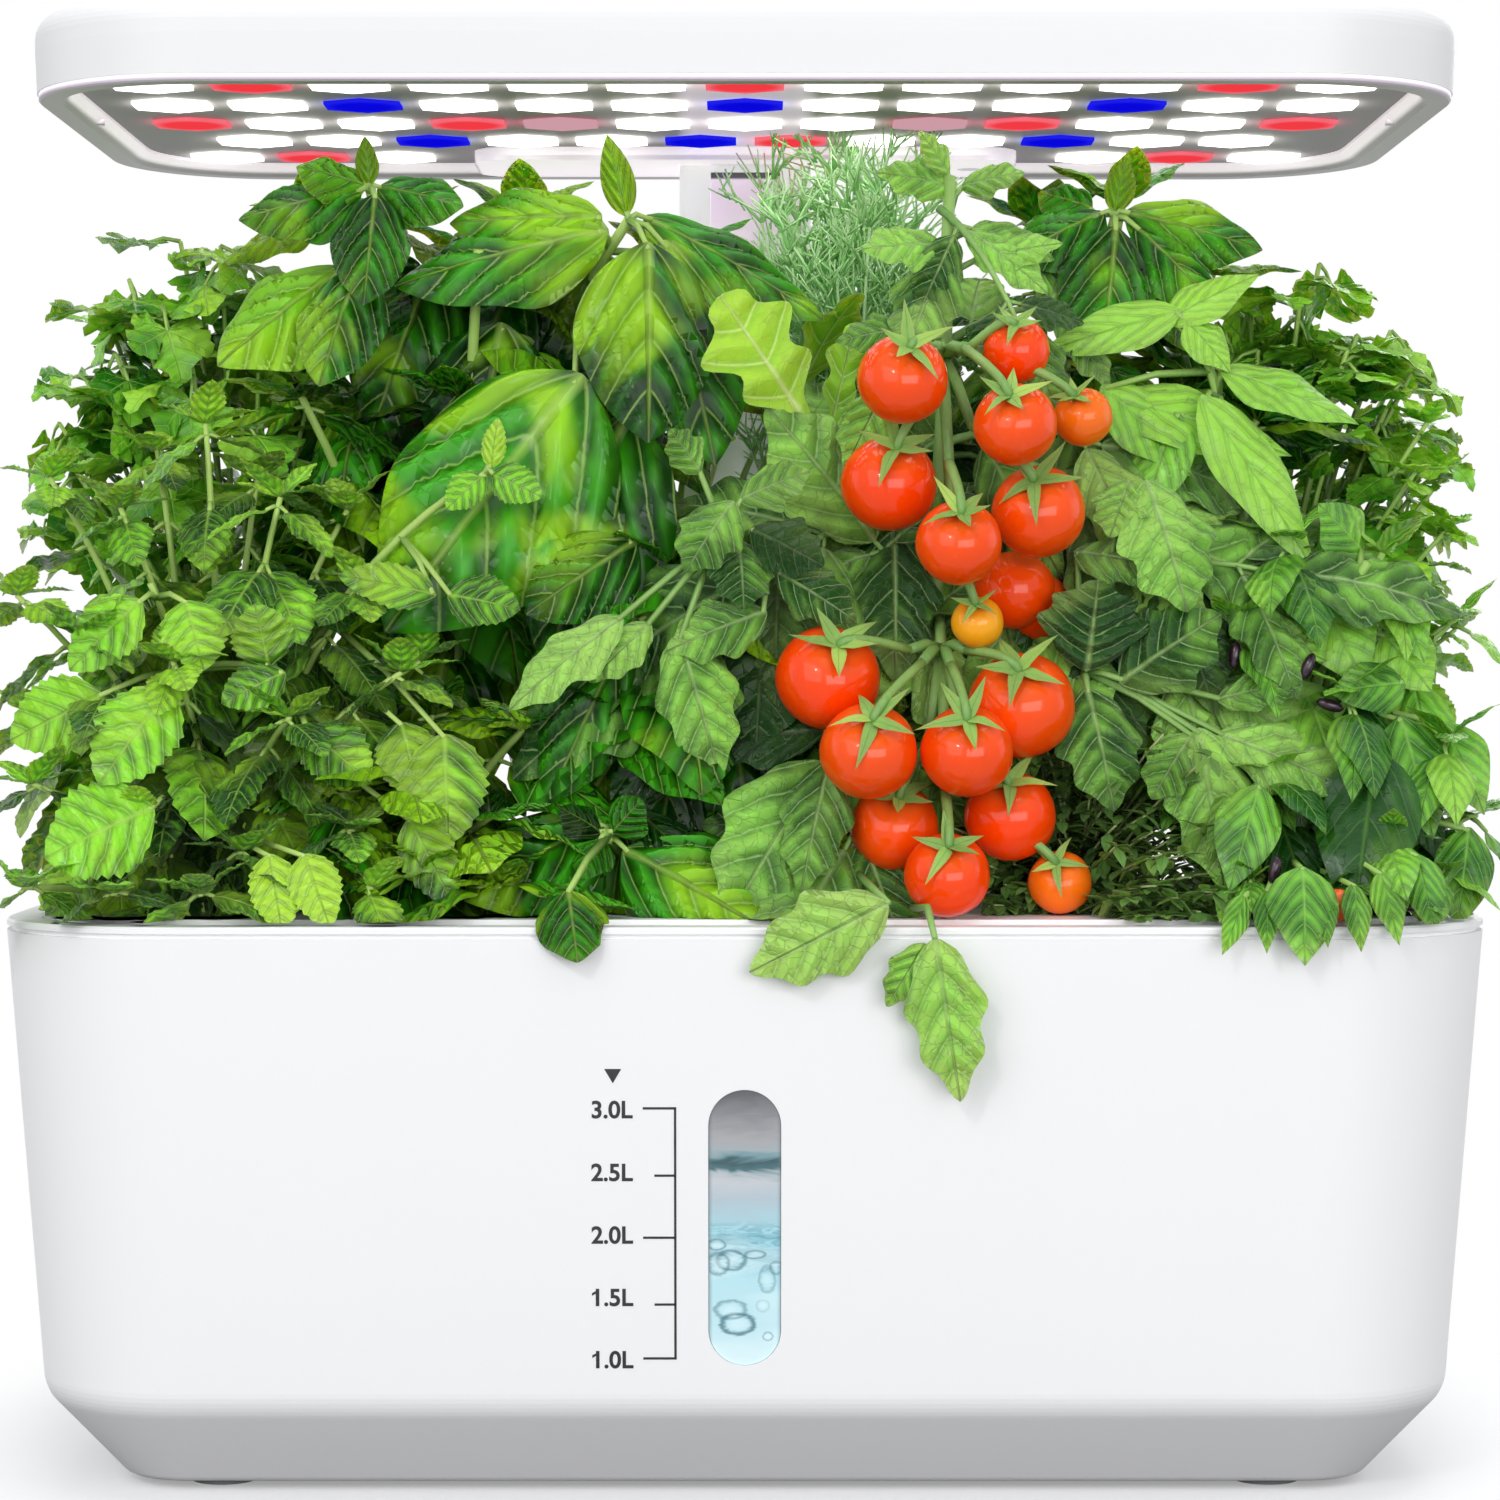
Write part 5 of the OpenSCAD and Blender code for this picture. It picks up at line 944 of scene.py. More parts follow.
class GARDEN_OT_basils(bpy.types.Operator):
    """Grows the four basil plants."""

    bl_idname = "garden.basils"
    bl_label = "Basils"
    bl_options = {"REGISTER", "UNDO"}

    def execute(self, context):
        leaf = context.scene.garden_sizes.basil_leaf / MM
        basil = leaf_material("basil_leaf", "basil", "#063604", context.scene.garden_colours.basil,
                              "#B2E066", 0.3, 2.2, young="#A6E622", youth=0.3, coat=0.2, contrast=1.7,
                              sunlit=0.75, network_share=0.0)
        stem = stem_material("basil_stem", "#6FA03C", "#A6CC5C")
        tall = Growth(11)
        foot = pod(8)
        tall.bough("broad", foot, (-70.5, -36, 238), [
            ((-70.5, -36, 239), (-71, -38, 248), 4.5, 1.0), ((-71, -36, 239), (-83, -41, 243), 13, 0.9),
            ((-72, -37, 238), (-94, -44, 234), 17, 0.5), ((-69, -35, 239), (-53, -42, 236), 14, 0.6),
            ((-69, -40, 237), (-70, -52, 217), 15, 0.25), ((-75, -36, 224), (-98, -48, 207), 23, 0.95),
            ((-72, -43, 223), (-78, -57, 202), 17, 0.3), ((-68, -30, 226), (-58, -20, 214), 18, 0.4)])
        tall.bough("broad", foot, (-22, -32, 233), [
            ((-22.5, -31, 234), (-26, -33, 249), 6.5, 1.0), ((-27, -30, 234), (-55, -36, 234), 18, 0.85),
            ((-26, -33, 231), (-65, -44, 223), 22, 0.55), ((-19, -30, 234), (16, -33, 217), 17, 0.5),
            ((-18, -42, 228), (-17, -58, 192), 27, 0.2), ((-15, -36, 229), (-5, -48, 188), 26, 0.35),
            ((-30, -48, 203), (-66, -64, 158), 43, 0.66), ((-22, -44, 196), (-38, -58, 150), 30, 0.3),
            ((-20, -54, 172), (-39, -66, 160), 19, 0.1), ((-24, -20, 220), (-42, -6, 200), 26, 0.5),
            ((-40, -20, 230), (-56, -26, 200), 27, 0.3), ((-60, -24, 224), (-72, -28, 194), 25, 0.2),
            ((-30, -24, 228), (-26, -30, 196), 27, 0.35), ((-46, -30, 214), (-52, -34, 182), 26, 0.15),
            ((-10, -22, 226), (4, -26, 198), 25, 0.4)], stem=3.6)
        tall.stem(arch(foot + [0, -4, 0], (-50, -37, 227), 0.6, 0.6), 3.0, 2.0, tone=1.0)
        for tip, pairs, size in (((-82, -8, 238), 6, 0.8), ((-50, -18, 228), 5, 0.95),
                                 ((-12, -14, 228), 5, 0.9), ((-70, 14, 236), 6, 0.85),
                                 ((-44, 20, 240), 6, 0.9), ((-84, -30, 200), 4, 0.9),
                                 ((-54, -30, 200), 4, 0.9), ((-8, 6, 214), 4, 0.85)):
            tall.shoot("basil", foot, tip, pairs, leaf * size, leaf * 0.66 * size, bare=0.5, droop=(58, 8),
                       front=0.3, stem=3.2, sizes=(1.0, 0.55))
        tall.build("tall_basil", [basil, stem], "plant_tall_basil", "leaf_basil")
        low = Growth(12)
        for tip, pairs in (((-62, -62, 128), 3), ((-46, -68, 122), 3), ((-74, -58, 126), 3),
                           ((-58, -46, 140), 3), ((-40, -56, 138), 3), ((-56, -72, 112), 2),
                           ((-44, -74, 110), 2)):
            low.shoot("basil", pod(2), tip, pairs, leaf * 0.66, leaf * 0.46, bare=0.55, droop=(30, -5),
                      front=0.6, stem=2.8, sizes=(1.0, 0.7))
        low.build("low_basil", [basil, stem], "plant_low_basil", "leaf_basil")
        broad = Growth(13)
        broad.bough("broad", pod(3), (-25, -66, 118), [
            ((-26, -64, 121), (-50, -75, 109), 21, 0.6), ((-31, -88, 110), (-29, -95, 98.5), 13, 0.45),
            ((-22, -66, 116), (2, -80, 104.5), 23, 0.62), ((-24, -67, 119), (-19, -71, 125), 9, 0.85),
            ((-26, -67, 118), (-29, -74, 112), 8, 0.9), ((-26, -66, 119), (-33, -68, 124), 8, 0.8),
            ((-21, -62, 124), (-9, -68, 114), 11, 0.7), ((-19, -62, 124), (-14.5, -63, 130), 4, 1.0)])
        broad.bough("broad", pod(3), (-14, -50, 160), [
            ((-20, -58, 158), (-36, -68, 125), 19, 0.35), ((-4, -54, 146), (4, -64, 106), 22, 0.28),
            ((-8, -50, 158), (14, -56, 136), 20, 0.3), ((-18, -50, 160), (-40, -58, 150), 20, 0.4),
            ((-12, -56, 140), (-16, -68, 112), 20, 0.2), ((-14, -44, 162), (-8, -34, 146), 20, 0.4)])
        for tip, pairs, size in (((-14, -46, 166), 3, 0.9), ((6, -50, 128), 2, 0.9),
                                 ((-24, -54, 140), 2, 0.9)):
            broad.shoot("basil", pod(3), tip, pairs, leaf * size, leaf * 0.7 * size, bare=0.5,
                        droop=(55, 20), front=0.7, stem=3.0, sizes=(1.0, 0.75))
        broad.build("broad_basil", [basil, stem], "plant_broad_basil", "leaf_basil")
        back = Growth(14)
        back.bough("broad", pod(11), (70, -28, 234), [
            ((70, -28, 235), (72, -30, 245), 6, 1.0), ((72, -28, 235), (97, -36, 229), 16, 0.6),
            ((68, -28, 235), (50, -37, 227), 16, 0.5), ((70, -32, 232), (67, -46, 209), 19, 0.3),
            ((74, -30, 232), (88, -40, 218), 15, 0.55), ((66, -26, 236), (56, -24, 240), 12, 0.8)])
        for tip, pairs, size in (((74, -4, 240), 6, 0.9), ((58, 4, 236), 6, 0.9), ((92, 0, 226), 5, 0.95),
                                 ((62, -18, 208), 4, 0.9), ((84, -20, 200), 4, 0.9),
                                 ((60, 22, 238), 6, 0.9), ((78, 20, 224), 5, 0.9),
                                 ((98, -22, 196), 4, 1.0)):
            back.shoot("basil", pod(11), tip, pairs, leaf * size, leaf * 0.6 * size, bare=0.45,
                       droop=(50, 5), front=0.4, stem=3.0, sizes=(1.0, 0.55))
        back.build("back_basil", [basil, stem], "plant_back_basil", "leaf_basil")
        return {"FINISHED"}


class GARDEN_OT_parsley(bpy.types.Operator):
    """Grows the two parsley plants at the back."""

    bl_idname = "garden.parsley"
    bl_label = "Parsley"
    bl_options = {"REGISTER", "UNDO"}

    def fan(self, plant, foot, tip, size):
        """A long stalk that ends in three parts of three to five cut leaflets."""
        path = arch(foot, tip, 0.7, 0.4, 7)
        plant.stem(path, 1.7, 1.0, 4)
        way = unit(path[-1] - path[-2])
        turn = plant.random.uniform(0, 360)
        for branch, reach in ((0, 7), (130, 6), (-130, 6)):
            along, face = heading(turn + branch + plant.jitter(15), plant.random.uniform(-20, 70))
            start = path[-1] if branch == 0 else path[-1] - way * 3
            end = start + along * reach
            plant.stem([start, (start + end) / 2 + [0, 0, 0.8], end], 0.9, 0.7, 4)
            side = unit(np.cross(face, along))
            for spread, grow in ((0, 1.1), (55, 1.0), (-55, 1.0), (115, 0.75), (-115, 0.75)):
                swing = math.radians(spread + plant.jitter(10))
                direction = along * math.cos(swing) + side * math.sin(swing)
                plant.leaf("parsley", end, direction, face + 0.25 * side * math.sin(swing), size * grow,
                           size * grow * 0.95, bow=plant.random.uniform(-0.2, 0.5), roll=plant.jitter(20),
                           thick=0.25)

    def grow(self, seed, foot, middle, radii, count, size):
        """A parsley plant whose fans fill a ball round its middle."""
        plant = Growth(seed)
        for k in range(count):
            height = 1 - 2 * (k + 0.5) / count
            turn = GOLDEN_TURN * k
            ring = math.sqrt(1 - height * height)
            out = np.array([math.cos(turn) * ring, math.sin(turn) * ring, height])
            depth = plant.random.uniform(0.72, 1.0)
            tip = np.array(middle) + out * np.array(radii) * depth
            self.fan(plant, foot + [plant.jitter(2.4), plant.jitter(2.4), -1], tip, size)
        return plant

    def execute(self, context):
        size = context.scene.garden_sizes.parsley_leaflet / MM
        leaf = leaf_material("parsley_leaf", "parsley", "#1E7410", "#92EA3A", "#A6DE5C", 0.34, 0.5,
                             young="#B0EA3C", youth=0.3, coat=0.25, contrast=0.6, sunlit=0.5)
        stem = stem_material("parsley_stem", "#74A63C", "#9CC852")
        left = self.grow(21, pod(7), (-104, 6, 192), (38, 26, 44), 58, size)
        left.build("parsley_left", [leaf, stem], "plant_parsley_left", "leaf_parsley")
        right = self.grow(22, pod(12), (108, 8, 190), (32, 26, 40), 52, size)
        mint_like = context.scene.garden_sizes.mint_leaf / MM
        for tip in ((132, -14, 196), (136, -20, 176), (128, -24, 186), (137, -6, 186), (138, -16, 156),
                    (130, 14, 176)):
            right.shoot("mint", pod(12), tip, 6, mint_like * 0.85, mint_like * 0.55, bare=0.45,
                        droop=(45, -5), front=0.4, stem=1.8, tone=(0.4, 1.0))
        right.build("parsley_right", [leaf, stem], "plant_parsley_right", "leaf_parsley")
        return {"FINISHED"}


class GARDEN_OT_rocket_and_dill(bpy.types.Operator):
    """Grows the rocket and the dill in front of the post."""

    bl_idname = "garden.rocket_and_dill"
    bl_label = "Rocket and dill"
    bl_options = {"REGISTER", "UNDO"}

    def execute(self, context):
        rocket = Growth(31)
        foot = pod(9)
        for tip, length, turn in (((-2, -6, 208), 30, 250), ((10, -8, 200), 28, 300),
                                  ((-14, 2, 204), 26, 220), ((4, 4, 196), 26, 280),
                                  ((-26, 6, 190), 26, 200), ((-8, 14, 212), 28, 260),
                                  ((14, 0, 176), 26, 310), ((-20, -8, 176), 26, 230),
                                  ((0, -10, 164), 26, 270), ((-30, 16, 180), 26, 150),
                                  ((-6, 20, 190), 24, 90), ((8, 16, 186), 24, 60)):
            path = arch(foot, tip, 0.7, 0.4)
            rocket.stem(path, 2.2, 1.2)
            along, face = heading(turn, -38 + rocket.jitter(12))
            rocket.leaf("rocket", path[-1], along + [0, 0, 0.5], face, length, length * 0.5, bow=0.3,
                        roll=rocket.jitter(15))
        rocket.bough("rocket", foot, (11, -38, 188), [
            ((12, -50, 193), (-4, -55, 217), 22, 0.95), ((16, -38, 193), (20.5, -41, 213), 9, 0.7),
            ((8, -40, 190), (26, -44, 197), 10, 0.6)], stem=2.2, bow=0.05)
        leaf = leaf_material("rocket_leaf", "rocket", "#5FA51C", "#A4E03A", "#E0F5A8", 0.42, 0.6,
                             young="#B2E644", youth=0.3)
        stem = stem_material("rocket_stem", "#8DB552", "#C2DB8C")
        rocket.build("rocket", [leaf, stem], "plant_rocket", "leaf_rocket")
        dill = Growth(32)
        foot = pod(10)
        stalks, round_pod = 40, 26
        for k in range(stalks):
            turn = GOLDEN_TURN * k
            ring = 3 + 17 * math.sqrt(k % round_pod / round_pod)
            tall = k >= round_pod
            height = dill.random.uniform(104, 142) if tall else 78 + 62 * dill.random.random() ** 0.6
            tip = foot + [ring * math.cos(turn), min(ring * math.sin(turn), 15), height]
            path = arch(foot, tip, 0.7, 0.4, 10)
            dill.stem(path, 1.5, 0.6, 4)
            for j in range(4, 10):
                for _ in range(4):
                    along, _ = heading(dill.random.uniform(0, 360), dill.random.uniform(-70, -20))
                    reach = dill.random.uniform(7, 13)
                    end = path[j] + along * reach
                    end[1] = min(end[1], 26)
                    dill.stem([path[j], (path[j] + end) / 2 + [0, 0, 1.2], end], 0.7, 0.4, 4)
                    for _ in range(4):
                        twig, _ = heading(dill.random.uniform(0, 360), dill.random.uniform(-70, 0))
                        point = end + twig * dill.random.uniform(4, 7)
                        point[1] = min(point[1], 26.5)
                        start = path[j] + (end - path[j]) * dill.random.uniform(0.4, 1)
                        dill.stem([start, point], 0.45, 0.28, 4)
        threads = stem_material("dill_thread", "#A2F08C", "#D2FDBE")
        dill.build("dill", [threads, threads], "plant_dill", "leaf_dill")
        return {"FINISHED"}


class GARDEN_OT_thyme(bpy.types.Operator):
    """Grows the thyme: a low tangle of pale stems with small dark leaves."""

    bl_idname = "garden.thyme"
    bl_label = "Thyme"
    bl_options = {"REGISTER", "UNDO"}

    def stalk(self, plant, path, turn):
        """A thin stalk with fours of leaves that point from turn degrees on round it."""
        plant.stem(path, 0.8, 0.45, 4)
        for point in path[2:]:
            for _ in range(4):
                along, face = heading(plant.random.uniform(turn, 360), plant.jitter(40))
                plant.leaf("thyme", point, along, face, plant.random.uniform(3.0, 5.0), 2.3, thick=0.3)

    def execute(self, context):
        plant = Growth(41)
        foot = pod(5)
        stalks = 140
        for k in range(stalks):
            out = 6 + 32 * math.sqrt(k / stalks)
            along, _ = heading(137.5 * k)
            tip = foot + along * out + [plant.jitter(3), plant.jitter(6) - 8, plant.random.uniform(2, 34)]
            tip[1] = min(max(tip[1], -84 if tip[0] > 66 else -60), -16)
            path = arch(foot + [plant.jitter(3), plant.jitter(3), -1], tip, 0.7, 0.5, 8)
            self.stalk(plant, path, 0)
        for k in range(26):
            front = -80 if k > 10 else -62
            tip = np.array([43 + 2.1 * k, front - 3 * math.sin(2.1 * k), 107 + 2.5 * math.sin(3.7 * k)])
            path = arch([tip[0] * 0.6 + 24, -60, 105], tip, 0.9, 0.6, 7)
            self.stalk(plant, path, 180)
        leaf = leaf_material("thyme_leaf", "thyme", "#0B2A0B", "#3F8A24", "#84B45C", 0.45, 0.15,
                             young="#86B048", youth=0.3)
        stem = stem_material("thyme_stem", "#7E8C5A", "#A9BE7E")
        plant.build("thyme", [leaf, stem], "plant_thyme", "leaf_thyme")
        return {"FINISHED"}


class GARDEN_OT_pepper(bpy.types.Operator):
    """Grows the pepper at the front right, with its small dark and orange fruit."""

    bl_idname = "garden.pepper"
    bl_label = "Pepper"
    bl_options = {"REGISTER", "UNDO"}

    def execute(self, context):
        plant = Growth(51)
        leaf = context.scene.garden_sizes.pepper_leaf / MM
        foot = pod(6)
        for tip, pairs, size in (((100, -50, 172), 5, 1.0), ((118, -48, 170), 5, 1.0),
                                 ((132, -46, 158), 5, 0.9), ((90, -56, 156), 4, 0.9),
                                 ((110, -62, 144), 4, 0.9), ((128, -62, 136), 4, 0.9),
                                 ((94, -66, 130), 4, 0.8), ((134, -58, 122), 4, 0.8),
                                 ((116, -72, 118), 3, 0.8), ((102, -30, 176), 5, 0.9),
                                 ((124, -26, 160), 5, 0.9), ((84, -50, 146), 4, 0.9)):
            plant.shoot("pepper", foot, tip, pairs, leaf * size, leaf * 0.56 * size, bare=0.3,
                        droop=(62, 25), front=0.65, stem=2.6, sizes=(1.0, 0.6), stalk=0.25)
        plant.bough("pepper", foot, (85, -44, 208), [
            ((81, -44, 215), (54, -47, 208), 10, 1.0), ((78, -43, 213), (95, -45, 223), 10, 0.98),
            ((82, -45, 213), (90, -49, 204), 9, 0.95), ((84, -50, 199), (106, -57, 167), 13, 1.0),
            ((66, -47, 201), (83, -52, 185), 12, 0.9), ((68, -46, 199), (101, -52, 190), 14, 0.95),
            ((88, -46, 204), (114, -50, 196), 13, 0.9), ((80, -48, 196), (72, -54, 176), 12, 0.85)])
        plant.bough("pepper", foot, (114, -56, 168), [
            ((114, -68, 134), (107, -85, 105), 19, 0.06), ((119, -62, 140), (124, -72, 119), 14, 0.6),
            ((127, -60, 139), (134, -67, 123), 12, 0.75), ((120, -62, 146), (106, -67, 145), 11, 0.3),
            ((98, -86, 114), (97.5, -97, 98.5), 13, 0.5), ((131, -66, 120), (127, -78, 103), 11, 0.3),
            ((122, -74, 113), (121, -86, 103), 9, 0.55), ((114, -50, 170), (106, -55, 179), 12, 0.4),
            ((104, -54, 165), (113, -62, 146), 16, 0.9), ((117, -56, 155), (125, -61, 145), 13, 0.95),
            ((88, -58, 159), (106, -62, 151), 10, 0.85), ((88, -86, 109), (83.5, -96, 100), 5, 0.6),
            ((102, -86, 109), (101, -96, 101.5), 4, 0.6), ((92, -74, 128), (86, -82, 110), 12, 0.5),
            ((92, -86, 110), (90.5, -96, 100.5), 5, 0.4), ((107, -86, 111), (107.5, -95, 100.5), 5.5, 0.3),
            ((112, -84, 113), (114, -93, 101.5), 6, 0.5), ((119, -80, 116), (121, -90, 103), 8, 0.35)],
            face=(0, -0.9, 0.35))
        for spot, way in (((102, -64, 149), (0.4, 0, 1)), ((106, -64, 142), (1, 0, -0.3)),
                          ((89, -62, 151), (0.1, 0, 1)), ((96, -80, 109), (1, 0, -0.3)),
                          ((91, -82, 107), (0.3, 0, -1)), ((119, -82, 107), (1, 0, 0.2)),
                          ((94, -80, 113), (0.2, 0, 1))):
            plant.bead(spot, 1.2, 2.6, way, 2)
        for spot, size in (((92, -72, 117), 2.0), ((104.5, -84, 107), 3.0)):
            plant.bead(spot, size, size, (0.2, -0.3, 1), 3)
        for tip in ((90, -76, 111), (104, -78, 110), (117, -77, 110), (126, -70, 112), (128, -60, 113)):
            plant.shoot("pepper", foot, tip, 3, leaf * 0.5, leaf * 0.28, bare=0.5, droop=(25, 0), front=0.8,
                        stem=2.0, sizes=(1.0, 0.7), stalk=0.25)
        green = leaf_material("pepper_leaf", "pepper", "#145410", "#8ADC46", "#94D060", 0.33, 0.6,
                              young="#A6E24E", youth=0.3, coat=0.2, contrast=1.2, sunlit=0.35)
        stem = stem_material("pepper_stem", "#5B8B2F", "#8FBF4C")
        young = moulded_plastic("dark_pepper_skin", "#2A1326", 0.22)
        ripe = moulded_plastic("orange_pepper_skin", "#FF6A1A", 0.2)
        plant.build("pepper", [green, stem, young, ripe], "plant_pepper", "leaf_pepper")
        return {"FINISHED"}


class GARDEN_OT_tomato(bpy.types.Operator):
    """Grows the tomato: its hairy stem, cut leaves, two trusses and the fruit with their calyxes."""

    bl_idname = "garden.tomato"
    bl_label = "Tomato"
    bl_options = {"REGISTER", "UNDO"}

    stem_x, stem_y = 36.0, -44.0

    def compound(self, plant, base, tip, pairs, size, sag=0.1, tone=(0.0, 1.0), face_out=0.5):
        """A leaf stalk with pairs of cut leaflets and one at its end."""
        base, tip = np.array(base, float), np.array(tip, float)
        t = np.linspace(0, 1, 9)[:, None]
        bulge = np.array([0, 0, 1]) * np.linalg.norm(tip - base) * sag * (t - t * t) * 4
        path = base + (tip - base) * t + bulge
        plant.stem(path, 1.8, 0.9)
        way = unit(tip - base)
        swerve = 0.15 * np.array([plant.jitter(1), plant.jitter(1), 0])
        face = unit(np.array([0, -face_out, 1 - face_out]) + swerve)
        side = unit(np.cross(face, way))
        for k in range(pairs):
            share = 0.3 + 0.6 * k / max(pairs - 1, 1)
            point = path[int(round(share * 8))]
            grow = 0.75 + 0.3 * math.sin(math.pi * share)
            for s in (-1, 1):
                swing = math.radians(62 + plant.jitter(12))
                along = way * math.cos(swing) + side * s * math.sin(swing) + np.array([0, 0, -0.25])
                start = point + unit(along) * 2.5
                plant.stem([point, start], 1.0, 0.8, 4)
                plant.leaf("tomato", start, along, face, size * grow * plant.vary(0.12), size * 0.62 * grow,
                           plant.random.uniform(*tone), bow=plant.random.uniform(0.05, 0.35),
                           roll=plant.jitter(18))
        plant.leaf("tomato", path[-1], way + np.array([0, 0, -0.2]), face, size * 1.15, size * 0.78,
                   plant.random.uniform(*tone), bow=0.25, roll=plant.jitter(10))

    def calyx(self, plant, top, way, radius):
        """Five pointed sepals that spread over a fruit from its stalk."""
        side, other = square_to(way)
        first = plant.random.uniform(0, 72)
        for k in range(5):
            turn = math.radians(first + 72 * k + plant.jitter(9))
            along = math.cos(turn) * side + math.sin(turn) * other
            length = radius * plant.random.uniform(0.85, 1.15)
            lift = plant.random.uniform(-0.05, 0.55)
            plant.leaf("sepal", top + way * 0.5, along + way * lift, way, length, radius * 0.3,
                       plant.random.random(), bow=plant.random.uniform(-0.25, 0.5), roll=plant.jitter(20),
                       thick=0.7, slot=2)

    def execute(self, context):
        plant = Growth(61)
        size = context.scene.garden_sizes.tomato_leaflet / MM
        x, y = self.stem_x, self.stem_y
        foot = pod(4)
        main = np.array([foot, foot + [7, -2, 14], [x - 2, y, 128], [x, y, 140], [x - 0.5, y, 170],
                         [x + 1, y, 200], [x + 1.5, y, 225], [x + 2, y, 240]])
        plant.stem(main, 4.2, 2.2, 8)
        for base, tip, pairs, grow, out in (
                ((x, y, 234), (x + 14, y - 10, 212), 2, 0.55, 0.6),
                ((x, y, 214), (x - 10, y - 12, 200), 1, 0.5, 0.7),
                ((x, y, 208), (x + 24, y + 6, 216), 2, 0.7, 0.5),
                ((x, y, 176), (x - 34, y - 10, 166), 3, 1.0, 0.6),
                ((x, y, 168), (x - 50, y - 14, 150), 3, 1.0, 0.6),
                ((x, y, 160), (x - 22, y - 22, 132), 2, 1.0, 0.7),
                ((x, y, 178), (x + 42, y - 8, 172), 3, 1.0, 0.6),
                ((x, y, 166), (x + 50, y - 14, 146), 3, 1.05, 0.6),
                ((x, y, 156), (x + 62, y - 12, 166), 3, 0.95, 0.6),
                ((x, y, 190), (x + 30, y - 2, 190), 2, 0.9, 0.6),
                ((x, y, 150), (x - 12, y - 6, 172), 2, 0.9, 0.6),
                ((x, y, 184), (x - 14, y + 10, 196), 2, 0.8, 0.4),
                ((x, y, 136), (x - 18, y - 24, 116), 2, 0.9, 0.7)):
            self.compound(plant, base, tip, pairs, size * grow, tone=(0.2, 1.0), face_out=out)
        plant.bough("tomato", (x, y, 136), (62, -58, 148), [
            ((73, -60, 183), (81, -67, 160), 21, 0.75), ((70, -60, 183), (66, -65, 173), 11, 0.7),
            ((62, -62, 148), (64, -67, 164), 21, 0.15), ((68, -62, 146), (85, -67, 159), 19, 0.2),
            ((62, -64, 145), (67, -71, 124), 17, 0.25), ((82, -66, 138), (86, -75, 110), 17, 0.8),
            ((85.5, -66, 137), (110, -71, 128), 16, 0.75), ((85.5, -64, 143), (100, -67, 147), 10, 0.85),
            ((81, -66, 137), (73, -71, 126), 12, 0.6), ((60, -58, 170), (76, -64, 168), 14, 0.6)], stem=2.2)
        plant.bough("tomato", (x, y, 150), (-4, -60, 172), [
            ((-12, -68, 155), (-4, -74, 130), 16, 0.7), ((-22, -68, 158), (-43, -73, 143), 14, 0.9),
            ((-17, -68, 157), (-28, -72, 147), 10, 0.85), ((4, -66, 159), (-14, -71, 153), 14, 0.55),
            ((-2, -64, 179), (-11, -69, 167), 14, 0.5), ((-1, -64, 179), (11, -67, 185), 12, 0.6),
            ((1, -64, 174), (14, -69, 168), 13, 0.4), ((-1, -64, 172), (0, -70, 160), 13, 0.55),
            ((-8, -62, 184), (-13, -65, 192), 9, 0.6), ((15, -70, 132), (10, -80, 110), 14, 0.85),
            ((6, -66, 166), (20, -70, 158), 12, 0.3)], stem=2.2)
        plant.bough("tomato", (x, y, 200), (39, -43, 239), [
            ((39, -43, 238), (25, -48, 241), 10, 0.8), ((40, -43, 238), (51, -48, 241), 9, 0.75),
            ((38, -43, 240), (33, -47, 248), 7, 0.9), ((37, -46, 227), (22, -52, 227), 13, 0.75),
            ((37, -47, 225), (29, -57, 207), 15, 0.7), ((41, -46, 230), (56, -52, 219), 11, 0.8),
            ((42, -46, 224), (58, -50, 228), 9, 0.85)], stem=2.0)
        plant.bough("tomato", (x, y, 140), (x + 1, y + 14, 206), [
            ((31, -28, 206), (25, -30, 182), 22, 0.1), ((45, -26, 206), (51, -28, 180), 24, 0.05),
            ((38, -28, 196), (36, -30, 168), 24, 0.1), ((28, -28, 184), (22, -30, 158), 22, 0.15),
            ((48, -26, 188), (54, -28, 162), 22, 0.1), ((36, -30, 168), (34, -32, 140), 24, 0.05),
            ((46, -30, 160), (50, -32, 134), 22, 0.1), ((26, -30, 160), (22, -32, 132), 22, 0.05),
            ((36, -30, 144), (36, -32, 114), 24, 0.05), ((24, -34, 136), (20, -38, 112), 22, 0.1)],
            stem=2.0)
        # leaves that hang over the rim in front of the wall
        over = np.array([[20, -64, 112], [22, -82, 110.5], [25, -93.5, 108]])
        plant.stem(over, 1.6, 1.1)
        plant.leaf("tomato", over[-1], [-0.88, -0.02, -0.45], [0, -1, 0.05], 27, 17, 0.95, bow=0.05,
                   roll=-8)
        over = np.array([[30, -76, 106], [32, -89, 107], [33, -95.5, 102]])
        plant.stem(over, 1.6, 1.1)
        plant.leaf("tomato", over[-1], [0.16, 0.06, -1], [0, -1, -0.04], 29, 15, 0.9, bow=0.0, roll=4)
        plant.leaf("tomato", over[-1] + [-1.5, 1.6, -1], [-0.55, 0.05, -0.9], [0, -1, 0], 13, 8, 0.7,
                   bow=0.0)
        reds = Growth(62)
        for centre, radius in islands("tomatoes"):
            centre, radius = np.array(centre) / MM, radius / MM * 1.04
            upper = centre[2] > 153
            knot = np.array([x, -55, 206 if upper else 152.0])
            way = unit(np.array([0.30 * (knot[0] - centre[0]) / 20, -0.95, 0.95]) +
                       0.12 * np.array([plant.jitter(1), plant.jitter(1), 0]))
            self.fruit(reds, centre, radius, way)
            top = centre + way * radius * 0.86
            self.calyx(plant, top, way, radius)
            heel = np.array([knot[0] + (centre[0] - knot[0]) * 0.3, max(centre[1] + 2, -70),
                             min(centre[2] + radius + 7, knot[2])])
            plant.stem(curve(top, top + way * 5, heel, 8), 1.6, 1.9)
